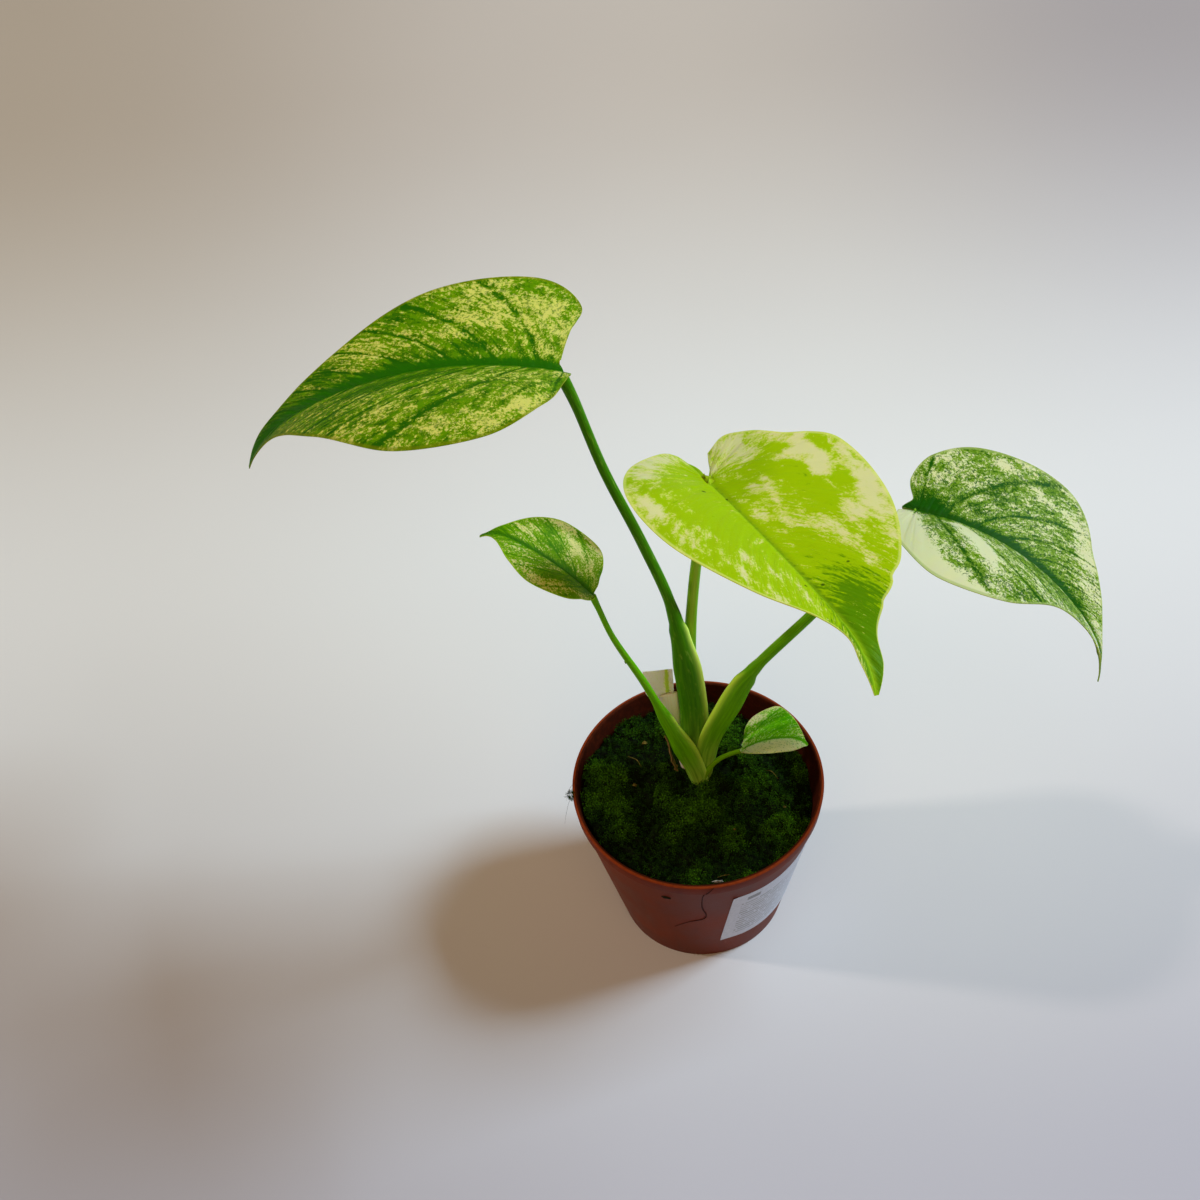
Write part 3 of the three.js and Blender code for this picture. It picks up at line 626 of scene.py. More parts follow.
def stalk_tube(route, sizes, faces, sheath, sides=40, steps=150):
    """A stalk laid along its route: round above, and a grooved sheath with raised edges at its foot."""
    bm = bmesh.new()
    bmesh.ops.create_grid(bm, x_segments=sides, y_segments=steps, size=0.5)
    layer = bm.verts.layers.float_vector.new("skin")
    tone = bm.verts.layers.float_vector.new("tone")
    line, length = even_route(route, steps)
    for vert in bm.verts:
        t = vert.co.y + 0.5
        k = round(t * steps)
        turn = 2 * math.pi * (vert.co.x + 0.5)
        along = (line[min(k + 1, steps)] - line[max(k - 1, 0)]).normalized()
        side = Vector((0, 1, 0)).cross(along).normalized()
        depth = along.cross(side)
        wide, deep = eased_between(sizes, t)
        away = (math.degrees(turn) - faces + 180) % 360 - 180
        open_share = 1 - smooth_step(t, sheath - 0.02, sheath + 0.012)
        groove = math.exp(-(away / GROOVE_SPREAD) ** 2)
        wing = math.exp(-((abs(away) - WING_AT) / WING_SPREAD) ** 2)
        swell = 1 - (0.16 * open_share + 0.05) * groove + 0.11 * open_share * wing
        swell += 0.012 * noise.noise(Vector((math.cos(turn), math.sin(turn), t * 9)) * 2.2)
        out = side * (wide * swell * math.cos(turn)) + depth * (deep * swell * math.sin(turn))
        vert[layer] = (math.cos(turn), math.sin(turn), t * length * MM)
        vert[tone] = (open_share, max(wing * open_share, groove * 0.6), t)
        vert.co = (line[k] + out) * MM
    bmesh.ops.remove_doubles(bm, verts=bm.verts, dist=1e-7)
    bmesh.ops.holes_fill(bm, edges=[e for e in bm.edges if e.is_boundary])
    bmesh.ops.recalc_face_normals(bm, faces=bm.faces)
    return bm


def stalk_skin(name, dark, light, edge, foot):
    """Smooth waxy skin with fine lines along the stalk, paler at the sheath's edges, and paler at its
    foot by its own colour and by painted light.
    """
    dark, light, edge, foot = (tint(*colour) for colour in (dark, light, edge, foot))
    skin = Finish(name, Specular_IOR_Level=0.05, Subsurface_Weight=0.45, Subsurface_Scale=1.5 * MM,
                  Subsurface_Radius=(0.6, 1.0, 0.2))
    lines = skin.grain(skin.stretch(skin.attribute("skin"), (1, 1, 14)), 5.5, 3, 0.6)
    mottle = skin.grain(skin.stretch(skin.attribute("skin"), (1, 1, 60)), 3.0, 3, 0.6)
    _, winged, along = skin.split(skin.attribute("tone"))
    # The pale foot is partly the stalk's own colour and partly painted light that lifts the base out of
    # its shade.
    low = skin.fade(along, 0.02, 0.24, 0.75, 0.0)
    colour = skin.layers(dark, [
        (skin.fade(lines, 0.32, 0.68), light),
        (skin.fade(mottle, 0.56, 0.72, 0.0, 0.12), edge),
        (skin.times(winged, 0.85), edge),
        (skin.times(low, skin.fade(lines, 0.35, 0.6, 0.45, 1.0)), foot),
    ])
    normal = skin.relief(lines, 0.05 * MM)
    return skin.coat(colour, skin.fade(mottle, 0.3, 0.7, 0.38, 0.5), normal)


# Each skin's dark, light, edge and foot colours.
STALK_COLOURS = {
    "stalk_tall": [(56, 116, 0), (74, 136, 0), (232, 255, 112), (168, 214, 76)],
    "stalk_green": [(88, 158, 0), (108, 182, 0), (208, 246, 84), (184, 228, 92)],
    "stalk_young": [(96, 156, 0), (126, 184, 2), (188, 222, 70), (182, 218, 86)],
    "stem_bark": [(104, 104, 46), (132, 128, 62), (160, 156, 96), (96, 76, 44)],
}
STALK_SKINS = {"tall_left": "stalk_tall", "right": "stalk_green", "small_left": "stalk_green",
               "tiny": "stalk_young", "lime": "stalk_young"}
skins = {name: stalk_skin(name, *colours) for name, colours in STALK_COLOURS.items()}
stem_sizes = [(t, girth * STEM_RADIUS, girth * STEM_RADIUS) for t, girth in STEM_GIRTH]
stem = stalk_tube(STEM_ROUTE, stem_sizes, faces=0, sheath=-1, sides=36, steps=40)
set_down(stem, "stem_core", skins["stem_bark"], "stem")
for name, stalk in STALKS.items():
    skin = skins[STALK_SKINS[name]]
    set_down(stalk_tube(**stalk), f"stalk_{name}", skin, f"petiole_{name}")

# The leaf blades: thin leathery hearts with a drip tip, each on the end of its stalk. The midrib and the
# side veins are sunk in the upper face, the midrib stands out below, and cream streaks follow the veins.
BLADE_THICKNESS = 0.36
BLADE_WAVE = 0.5
BLADE_WAVES = 4
COLUMN_CROWDING = 1.5
SIDE_VEIN_SPACING = 0.115
TIP_FROM = 0.7
FOLD_OPENS_FROM = 0.75
FOLD_LEFT_AT_TIP = 0.5
MIDRIB_STEPS = 60
CROSS_STEPS = 8
DEAD_SPOT = (46, 70, 10)
RIB_HALF_WIDTH = 1.1
RIB_SHOULDER = 0.12
VEIN_DEPTH = 0.2
VEIN_HALF_WIDTH = 0.1
PANEL_RISE = 0.2
# The leaf length that this relief was drawn for. A shorter leaf has a lower one.
RELIEF_LENGTH = 110
# Each leaf in millimetres and degrees. at: the notch where the stalk meets the blade. held: the heading,
# pitch and roll of the blade. droop, tip_droop, sway, twist: how the midrib bends over its length.
# rise: how steeply each half leaves the midrib, left then right. curl: how far each half bends back by
# its margin. left, right: the margin from the notch to the tip, [along, across] the midrib. nicks: small
# dips in the left margin, [share of the way, depth, width of the dip]. paint: patches of colour on the
# flat leaf, [along, across, half length, half width, how much more cream, how much darker green].
LEAVES = {
    "tall_left": {
        "length": 119, "at": (-34, 50, 232), "held": (167, -9, 22),
        "droop": 54, "tip_droop": 26, "sway": 0, "twist": -15, "rise": (21, 20), "curl": (40, 0),
        "left": [(-2.6, 1.6), (-1.6, 16), (2.4, 34), (17.5, 50.3), (49.5, 50.2), (78.5, 29.5),
                 (98.5, 11), (111, 5), (119, 0.7)],
        "right": [(2.2, 3.5), (0.9, 19.5), (-0.6, 31.5), (14, 40.4), (44, 34), (75, 17), (97, 7),
                  (110, 4.5), (119, 0.7)],
        "columns": 72, "rows": 170, "rib": 1.7, "groove": 0.3, "nicks": [], "bulge": (0.3, 0.2),
        "paint": [
            (28, -33, 10, 6, 0.1, 0), (22, -21, 7, 7, 0.12, -0.04), (9, -26, 6, 9, 0.1, 0),
            (4, -18, 5, 8, 0.08, 0), (36, -18, 6, 5, 0.09, 0), (62, -11, 7, 4, 0.12, -0.05),
            (73, -17, 8, 4, 0.06, 0), (30, -8, 9, 3, -0.1, 0.12), (55, -24, 8, 4, -0.1, 0.06),
            (52, -5, 9, 3, -0.1, 0.1), (80, -8, 10, 5, -0.06, 0.08), (6, 35, 8, 6, 0.1, -0.05),
            (15, 36, 8, 6, 0.08, -0.05), (30, 43, 12, 5, 0.08, 0), (3, 7, 4, 4, 0.1, -0.05),
            (60, 36, 8, 5, 0.07, 0), (26, 17, 7, 4, 0.05, 0), (62, 12, 16, 5, -0.14, 0.12),
            (42, 10, 14, 4, -0.1, 0.1), (15, 21, 6, 6, -0.04, 0.05), (54, 46, 8, 4, -0.08, 0.08),
            (76, 25, 10, 6, -0.07, 0.06), (36, 32, 6, 6, -0.05, 0.03), (106, 0, 14, 14, -0.16, 0.05),
        ],
    },
    "lime": {
        "length": 110, "at": (8, 15, 213), "held": (-67, -17, -15),
        "droop": 9, "tip_droop": 60, "sway": 3, "twist": -1, "rise": (22, 25), "curl": (11, 35),
        "left": [(-13.5, 7), (-18, 18), (-7, 32), (10, 44), (42.5, 41), (71, 28), (90.5, 8), (102.5, 4),
                 (110, 0.7)],
        "right": [(-15.8, 0.8), (-16.6, 9.5), (-6, 26), (11, 34), (42.5, 33.5), (70.5, 22.5),
                  (88.5, 4.5), (100.5, 3), (110, 0.7)],
        "columns": 72, "rows": 170, "rib": 1.7, "groove": 0.1, "bulge": (-0.8, 1.5),
        "nicks": [(0.655, 1.6, 0.012), (0.7, 1.0, 0.01), (0.26, 1.3, 0.03), (0.18, -1.1, 0.03),
                  (0.34, -0.6, 0.03)],
        "paint": [
            (-8, 28, 6, 4, 0.24, 0), (0, 33, 5, 3, 0.3, 0), (6, 30, 4, 6, 0.3, 0),
            (12, 33, 6, 3, 0.26, 0), (18, 30, 5, 3.5, 0.34, 0), (16, 41, 8, 3, 0.24, 0),
            (26, 41, 6, 2.5, 0.26, 0), (33, 39, 7, 4, 0.3, 0), (42, 36, 6, 5, 0.26, 0),
            (44, 27, 7, 3.2, 0.34, 0), (52, 33, 6, 4, 0.2, 0), (50, 19, 9, 2, 0.26, 0),
            (43, 15, 7, 1.8, 0.24, 0), (66, 20, 4, 1.6, 0.34, 0), (61, 31, 4, 2.4, 0.24, 0),
            (13, 14, 6, 2, 0.14, 0), (14, 9, 6, 1.8, 0.14, 0), (23, 12, 6, 1.6, 0.14, 0),
            (27, 4, 5, 2, 0.16, 0), (34, 10, 8, 2.4, 0.2, 0), (-14, 18, 3, 6, 0.2, 0),
            (-9, 14, 8, 8, 0.26, 0), (-6, 4, 5, 2, 0.16, 0), (-14, -7, 4, 7, 0.22, 0),
            (-11, -16, 5, 6, 0.26, 0), (9, -13, 5, 2, 0.14, 0), (-2, -22, 7, 6, 0.25, 0),
            (21, -29, 7, 3, 0.16, 0), (14, -30, 6, 3, 0.16, 0), (39, -29, 7, 3, 0.16, 0),
            (38, -21, 5, 2.4, 0.14, 0), (51, -16, 5, 2, 0.2, 0), (43, -8, 4, 1.6, 0.1, 0),
            (19, -18, 5, 2, 0.1, 0), (62, -21, 7, 1.6, 0.18, 0), (61, -11, 6, 1.4, 0.14, 0),
            (68, -6, 7, 1.2, 0.2, 0), (77, -7, 6, 1.4, 0.18, 0), (74, -17, 7, 1.6, 0.16, 0),
            (84, 6, 4, 2, 0.1, 0), (96, -2.4, 8, 1, 0.24, 0), (90, 3, 3, 1.4, 0.1, 0),
            (1, 26, 3, 2.6, -0.2, 0.05), (8, 37, 5, 2, -0.16, 0.1), (15, 24, 5, 3, -0.16, 0.05),
            (10, 19, 4, 3, -0.1, 0.05), (30, 24, 8, 4, -0.16, 0.05), (30, 33, 4, 3, -0.12, 0.05),
            (38, 22, 5, 2.4, -0.1, 0.03), (30, -12, 18, 6, -0.2, 0.05), (62, 8, 16, 7, -0.14, 0.14),
            (98, 3, 16, 10, -0.12, 0.6), (78, 10, 14, 12, -0.08, 0.33), (5, -3, 12, 5, -0.2, 0),
        ],
    },
    "right": {
        "length": 90, "at": (76.5, 20, 184), "held": (-19, 2, -25),
        "droop": 65, "tip_droop": 30, "sway": -5, "twist": -6, "rise": (29, 15), "curl": (0, 40),
        "left": [(-5.4, 0.4), (-2.4, 4.4), (-4.6, 13), (0.6, 23.6), (14, 32.6), (41, 33.6), (59, 18.6),
                 (74.5, 5.5), (83, 1), (90, 0.5)],
        "right": [(-6, 3.6), (-5.6, 13), (-1.2, 28.5), (13, 39), (37.5, 35.2), (55.5, 17.4), (74.5, 6),
                  (83, 1), (90, 0.5)],
        "columns": 72, "rows": 150, "rib": 1.5, "groove": 0.26, "bulge": (0, 0.3),
        "nicks": [(0.64, 0.7, 0.02)],
        "paint": [
            (-4, -9, 4, 5, 0.5, -0.4), (-3, -18, 5, 7, 0.55, -0.4), (3, -29, 5, 5, 0.55, -0.4),
            (9, -33, 4, 4, 0.5, -0.4), (14, -38, 5, 4, 0.5, -0.4), (22, -40, 6, 4, 0.46, -0.4),
            (31, -39, 6, 2.6, 0.36, -0.3), (1, -23, 4, 5, 0.4, -0.3), (14, -6, 3.4, 1.6, 0.34, -0.2),
            (18, -10, 4, 2.6, 0.34, -0.3), (25, -19, 4, 3, 0.34, -0.3), (23, -14, 4, 3, 0.28, -0.2),
            (29, -24, 4, 3, 0.12, -0.04), (35, -30, 4, 2, 0.1, 0), (36, -14, 6, 2.4, 0.06, 0),
            (30, -9, 5, 1.6, 0.12, 0), (33, -26, 4, 2.4, 0.08, 0), (48, -18, 8, 2, 0.1, 0),
            (6, -24, 2.4, 3, 0.04, 0.08), (4, -16, 3, 3, 0.02, 0.1), (10, -11, 4, 3, 0, 0.1),
            (16, -20, 3, 3, 0.06, 0.06), (13, -26, 4, 2.4, 0.08, 0.06), (19, -32, 4, 2, 0.06, 0.08),
            (27, -32, 4, 2.4, 0.06, 0.07), (38, -29, 6, 2.6, 0, 0.1), (46, -25, 6, 2.4, -0.02, 0.1),
            (3, 23, 3, 2, 0.1, 0), (7, 25, 4, 3, 0.1, 0), (21, 29, 3.4, 2, 0.22, -0.1),
            (27, 33, 4, 1.6, 0.14, -0.04), (33, 25, 2.6, 2, 0.18, -0.1), (41, 25, 5, 2, 0.14, -0.05),
            (40, 34, 5, 1.6, 0.16, 0), (49, 24, 5, 3, 0.2, -0.08), (4, 15, 4, 4, 0.08, 0),
            (56, 18, 6, 4, 0.24, -0.08), (62, 9, 6, 4, 0.2, -0.06), (-3, 12, 2, 4, 0.1, 0),
            (15, 18, 8, 5, 0.04, 0.04), (23, 17, 4, 4, -0.03, 0.1), (34, 12, 10, 4, 0.02, 0),
            (19, 7, 5, 2, -0.04, 0.1), (3, 2, 6, 5, -0.3, 0.35), (34, 1, 12, 2, -0.1, 0.14),
            # The cream patch at the tip, at (76, 0), is a painted highlight for the sheen there.
            (62, 4, 10, 4, -0.08, 0.1), (48, -8, 12, 3, -0.06, 0.08), (76, 0, 12, 5, 0.26, -0.32),
        ],
    },
    "small_left": {
        "length": 45, "at": (-31, 12, 165), "held": (143, -38, 25),
        "droop": 32, "tip_droop": 56, "sway": 1, "twist": -15, "rise": (26, 6), "curl": (40, 2),
        "left": [(0, 1.2), (0, 4), (3, 8.8), (8.4, 14), (21.5, 16.4), (30.5, 12), (37, 5), (41, 2),
                 (45, 0.4)],
        "right": [(0.4, 1.4), (1.3, 8), (2.6, 14), (8, 19.6), (20, 18.4), (30, 12.6), (37.5, 4.2),
                  (41.5, 0.8), (45, 0.4)],
        "columns": 48, "rows": 100, "rib": 0.9, "groove": 0.2, "nicks": [], "bulge": (0, 0),
        "paint": [
            (13, -10, 3, 3, 0.24, -0.1), (22, -17, 4, 3, 0.16, 0), (17, -14, 4, 3, 0.1, 0),
            (6, -7, 3, 4, 0.1, 0), (8, -17, 4, 3, 0.18, 0), (12, -20, 6, 2, 0.2, 0),
            (31, -6, 4, 3, 0.1, 0), (29, 5, 5, 2, 0.1, 0), (26, 12, 5, 2, 0.1, 0),
            (17, 14, 5, 2, 0.08, 0), (11, 13, 4, 2, 0.04, 0), (18, -7, 3, 3, -0.08, 0.16),
            (23, -11, 2, 4, -0.06, 0.14), (12, -2, 5, 2, -0.1, 0.16), (14, 6, 9, 3, -0.05, 0.04),
            (40, 0, 8, 6, -0.1, 0.04), (28, 1, 6, 2, -0.06, 0.1), (5, 0, 4, 4, -0.12, 0.14),
        ],
    },
    "tiny": {
        "length": 26.6, "at": (16.7, 8, 75.3), "held": (5, -40, -25),
        "droop": 46, "tip_droop": 60, "sway": -15, "twist": 15, "rise": (10, 24), "curl": (0, 20),
        "left": [(0.2, 1), (0.4, 3.6), (1.2, 8.5), (5.5, 13.4), (13, 13.8), (18.2, 9.4), (22.6, 3.3),
                 (24.7, 0.9), (26.6, 0.4)],
        "right": [(0.4, 0.5), (0.3, 2), (1.6, 4.6), (6, 7.9), (14.5, 9.2), (20, 7.7), (24, 4),
                  (25.6, 1.6), (26.6, 0.4)],
        "columns": 40, "rows": 80, "rib": 0.6, "groove": 0.12, "nicks": [], "bulge": (0, 0),
        "paint": [
            (5, -5, 5, 3, 0.16, -0.04), (12, -6, 6, 4, 0.24, -0.04), (19, -5, 5, 4, 0.2, -0.04),
            (8, 6, 8, 6, -0.16, 0), (17, 6, 6, 6, -0.16, 0.06), (6, 12, 5, 2, 0.08, 0),
        ],
    },
}


def margin_point(points, v):
    """A smooth curve through the margin's points."""
    spans = len(points) - 1
    x = max(0.0, min(1.0, v)) * spans
    i = min(int(x), spans - 1)
    t = x - i
    ends = [[2 * points[0][k] - points[1][k] for k in (0, 1)], *points,
            [2 * points[-1][k] - points[-2][k] for k in (0, 1)]]
    a, b, c, d = ends[i:i + 4]
    return [0.5 * (2 * b[k] + (c[k] - a[k]) * t + (2 * a[k] - 5 * b[k] + 4 * c[k] - d[k]) * t * t
                   + (3 * b[k] - a[k] - 3 * c[k] + d[k]) * t ** 3) for k in (0, 1)]


def along_midrib(drop, sway):
    return Vector((math.cos(drop) * math.cos(sway), math.cos(drop) * math.sin(sway), -math.sin(drop)))


def midrib_table(leaf):
    """The midrib's places and bends from the notch to the tip."""
    table = []
    place = Vector()
    before = None
    for i in range(MIDRIB_STEPS + 1):
        s = i / MIDRIB_STEPS
        tip = max(0.0, (s - TIP_FROM) / (1 - TIP_FROM))
        drop = math.radians(leaf["droop"] * s + leaf["tip_droop"] * tip * tip)
        sway = math.radians(leaf["sway"] * s)
        along = along_midrib(drop, sway)
        if before:
            place = place + (along + before) * (0.5 * leaf["length"] / MIDRIB_STEPS)
        table.append((place, drop, sway))
        before = along
    return table


def bend_point(leaf, table, x, y):
    """Bends the flat leaf's point x along and y across into the living blade."""
    s = max(0.0, min(1.0, x / leaf["length"]))
    k = min(int(s * MIDRIB_STEPS), MIDRIB_STEPS - 1)
    share = s * MIDRIB_STEPS - k
    place = table[k][0].lerp(table[k + 1][0], share)
    drop, sway = (table[k][j] + (table[k + 1][j] - table[k][j]) * share for j in (1, 2))
    along = along_midrib(drop, sway)
    flat = Vector((-math.sin(sway), math.cos(sway), 0))
    up = along.cross(flat)
    twist = math.radians(leaf["twist"] * s)
    across = flat * math.cos(twist) + up * math.sin(twist)
    normal = up * math.cos(twist) - flat * math.sin(twist)
    half = 0 if y >= 0 else 1
    reach = abs(y) / max(point[1] for point in leaf[("left", "right")[half]])
    opened = max(0.0, (s - FOLD_OPENS_FROM) / (1 - FOLD_OPENS_FROM))
    fold = math.radians(1 - FOLD_LEFT_AT_TIP * opened)
    for j in range(CROSS_STEPS):
        angle = (leaf["rise"][half] - leaf["curl"][half] * reach * ((j + 0.5) / CROSS_STEPS)) * fold
        place = place + across * (y * math.cos(angle) / CROSS_STEPS)
        place = place + normal * (abs(y) * math.sin(angle) / CROSS_STEPS)
    return place + along * min(x, 0.0)


def flat_point(leaf, u, v):
    """Where the point u across and v along lies on the flat leaf. The rows fan out of the notch."""
    points = leaf["left"] if u >= 0 else leaf["right"]
    start = points[0]
    inner_edge = math.hypot(*start) / (math.hypot(*start) + 1.35 * leaf["length"])
    if v < inner_edge:
        share = v / inner_edge
        bulge = leaf["bulge"][0 if u >= 0 else 1] * math.sin(math.pi * share)
        edge_x = start[0] * share - bulge * start[1] / math.hypot(*start)
        edge_y = start[1] * share + bulge * start[0] / math.hypot(*start)
        way = 0.0
    else:
        way = (v - inner_edge) / (1 - inner_edge)
        edge_x, edge_y = margin_point(points, way)
        if u > 0:
            for at, depth, width in leaf["nicks"]:
                edge_y -= depth * math.exp(-((way - at) / width) ** 2)
    middle = leaf["length"] * (0.3 * v + 0.7 * v * v)
    t = abs(u)
    return (1 - t) * middle + t * edge_x, t * edge_y * (1 if u > 0 else -1), way


def side_vein(leaf, x, y):
    """Which side vein passes a point, as its start's share of the midrib, and how far out along it."""
    x, y = x / leaf["length"], abs(y) / leaf["length"]
    ahead = x - 0.1 * y - 0.1 * y * y
    if ahead >= 0:
        start = ahead / (1 + 1.4 * y + 16 * y * y)
        return start, math.hypot(x - start, y)
    return 0.2 * math.atan2(ahead, y), math.hypot(x, y)


def blade_relief(leaf, u, v, x, y):
    """How far the upper face stands up: a sunk midrib, sunk side veins and raised panels between."""
    t = abs(u)
    start, _ = side_vein(leaf, x, y)
    ends = min(1.0, 10 * (1 - v)) * min(1.0, 8 * v)
    groove = -leaf["groove"] * math.exp(-(y / RIB_HALF_WIDTH) ** 2) * (1 - 0.6 * v)
    shoulder = RIB_SHOULDER * math.exp(-((abs(y) - 2.4) / 1.2) ** 2)
    phase = start / SIDE_VEIN_SPACING + (0.15 if u > 0 else 0.4)
    gap = abs(phase - round(phase))
    sunk = -VEIN_DEPTH * math.exp(-(gap / VEIN_HALF_WIDTH) ** 2)
    panel = PANEL_RISE * math.sin(math.pi * min(1.0, gap * 2)) ** 0.8
    spread = math.sin(math.pi * min(1.0, t * 1.04)) ** 0.6 if t < 0.96 else 0.0
    return ends * (groove + shoulder + (sunk + panel) * spread * leaf["length"] / RELIEF_LENGTH)


def leaf_blade(leaf):
    """A blade: a grid laid as the upper face, given its relief, then its thickness and the rib below."""
    table = midrib_table(leaf)
    bm = bmesh.new()
    bmesh.ops.create_grid(bm, x_segments=leaf["columns"], y_segments=leaf["rows"], size=1)
    vein = bm.verts.layers.float_vector.new("vein")
    flat = bm.verts.layers.float_vector.new("flat")
    paint = bm.verts.layers.float_vector.new("paint")
    rise = {}
    for vert in bm.verts:
        u = math.copysign(abs(vert.co.x) ** COLUMN_CROWDING, vert.co.x)
        v = 0.5 - 0.5 * vert.co.y
        x, y, way = flat_point(leaf, u, v)
        vert.co = bend_point(leaf, table, x, y)
        vert.co.z += BLADE_WAVE * u * u * math.sin(2 * math.pi * BLADE_WAVES * way) * (1 - way)
        start, out = side_vein(leaf, x, y)
        side = 1 if u > 0 else -1
        vert[vein] = (start, out * side, abs(u))
        vert[flat] = (x / leaf["length"], y / leaf["length"], v)
        cream = dark = 0.0
        for at_x, at_y, half_long, half_wide, more_cream, darker in leaf["paint"]:
            near = math.exp(-((x - at_x) / half_long) ** 2 - ((y - at_y) / half_wide) ** 2)
            cream += more_cream * near
            dark += darker * near
        vert[paint] = (cream, dark, 0)
        rise[vert] = blade_relief(leaf, u, v, x, y)
    bmesh.ops.recalc_face_normals(bm, faces=bm.faces)
    if sum(face.normal.z * face.calc_area() for face in bm.faces) < 0:
        bmesh.ops.reverse_faces(bm, faces=bm.faces)
    bm.normal_update()
    upper = {vert: vert.normal.copy() for vert in bm.verts}
    for vert, normal in upper.items():
        vert.co += normal * rise[vert]
    bmesh.ops.extrude_face_region(bm, geom=bm.faces[:], use_keep_orig=True)
    for vert, normal in upper.items():
        across, way = vert[flat].y * leaf["length"], vert[flat].z
        rib = leaf["rib"] * max(0.0, 1 - way) ** 0.8 * math.exp(-(across / RIB_HALF_WIDTH) ** 2)
        vert.co -= normal * (BLADE_THICKNESS + rib)
        vert[paint].z = 1
    bmesh.ops.remove_doubles(bm, verts=bm.verts, dist=1e-4)
    bmesh.ops.recalc_face_normals(bm, faces=bm.faces)
    heading, pitch, roll = (math.radians(a) for a in leaf["held"])
    held = Euler((roll, pitch, heading), "XYZ").to_matrix().to_4x4()
    bm.transform(Matrix.Scale(MM, 4) @ Matrix.Translation(leaf["at"]) @ held)
    return bm


def leaf_skin(name, colours, level=0.0, fine=1.0, seed=0.0, rib_width=0.02, streaky=0.9, patchy=0.45,
              speckled=0.7, peppered=0.0, soft=0.0, veil=0.0, dusk=0.0, veins=1.0, pinholes=(),
              glow=1.6):
    """Leathery leaf skin: green with darker streaks, cream patches along the side veins, a satin wax."""
    skin = Finish(name, Specular_IOR_Level=0.05, Subsurface_Weight=0.6, Subsurface_Scale=glow * MM,
                  Subsurface_Radius=(0.7, 1.0, 0.15))
    cream, mix, green, dark, rib, margin = (tint(*colour) for colour in colours)
    start, out, edge = skin.split(skin.attribute("vein"))
    flat = skin.attribute("flat")
    along, across, _ = skin.split(flat)
    more_cream, darker, under = skin.split(skin.attribute("paint"))
    span = skin.calc("ABSOLUTE", across)

    def streaked(along_scale, out_scale, shift, *grain):
        way, away = skin.times(start, along_scale * fine), skin.times(out, out_scale * fine)
        return skin.grain(skin.join(way, away, seed + shift), 1.0, *grain)

    streaks = streaked(72, 26, 0, 7, 0.72, 0.5)
    patches = streaked(26, 11, 5, 3, 0.55, 0.3)
    dark_streaks = streaked(54, 15, 9, 5, 0.64, 0.4)
    specks = skin.grain(skin.stretch(flat, location=(seed, seed, 0)), 110 * fine, 3, 0.7)
    pepper = skin.grain(skin.stretch(flat, location=(seed + 3, seed, 0)), 74 * fine, 4, 0.7, 0.6)

    ribbed = skin.calc("POWER", skin.calc("DIVIDE", span, rib_width), 2.0)
    ribbed = skin.calc("EXPONENT", skin.times(ribbed, -1.0))
    side = skin.times(skin.calc("SIGN", out), -0.125)
    phase = skin.plus(skin.calc("DIVIDE", start, SIDE_VEIN_SPACING), side)
    gap = skin.calc("PINGPONG", skin.plus(phase, 0.275), 0.5)
    veined = skin.fade(gap, 0.0, 0.09, veins, 0.0)
    fine_veins = skin.calc("PINGPONG", skin.times(phase, 5), 0.5)

    milk = skin.plus(skin.times(streaks, streaky), skin.times(patches, patchy))
    milk = skin.plus(milk, skin.times(specks, speckled))
    milk = skin.plus(milk, skin.plus(more_cream, level))
    milk = skin.plus(milk, skin.times(ribbed, -0.3))
    milk = skin.plus(milk, skin.times(veined, -0.11))
    creamy = skin.fade(milk, 0.99 - soft, 1.08 + soft)
    half_creamy = skin.fade(milk, 0.88 - veil, 1.02 - veil)
    shade = skin.plus(skin.times(dark_streaks, 1.2), skin.times(specks, 0.3))
    shade = skin.plus(shade, skin.plus(darker, skin.times(veined, 0.2)))
    shade = skin.plus(shade, skin.times(ribbed, 0.3))
    darkness = skin.fade(shade, 0.68 - dusk, 0.92 - dusk)

    peppery = skin.plus(pepper, skin.times(darker, 0.7))
    peppery = skin.plus(peppery, skin.times(veined, 0.06))

    colour = skin.layers(green, [
        (darkness, dark),
        (skin.times(half_creamy, 0.75), mix),
        (creamy, cream),
        (skin.fade(peppery, 0.52, 0.6, 0.0, peppered), dark),
        (skin.times(ribbed, 0.8), rib),
        (skin.times(skin.fade(edge, 0.965, 0.985), 0.6), margin),
    ])
    for x, y, radius in pinholes:
        near = skin.add("VectorMath", {0: skin.join(along, across), 1: (x, y, 0)}, operation="DISTANCE")
        dead = skin.fade(near.outputs["Value"], 0.5 * radius, radius, 0.8, 0.0)
        colour = skin.blend(dead, colour, tint(*DEAD_SPOT))
    colour = skin.blend(skin.times(under, 0.35), colour, mix)

    gloss = skin.fade(specks, 0.3, 0.7, 0.38, 0.5)
    gloss = skin.plus(gloss, skin.times(under, 0.2))
    skin_grain = skin.relief(skin.grain(flat, 420, 2, 0.6), 0.035 * MM)
    normal = skin.relief(skin.fade(fine_veins, 0.0, 0.3), 0.05 * MM, skin_grain)
    return skin.coat(colour, gloss, normal)


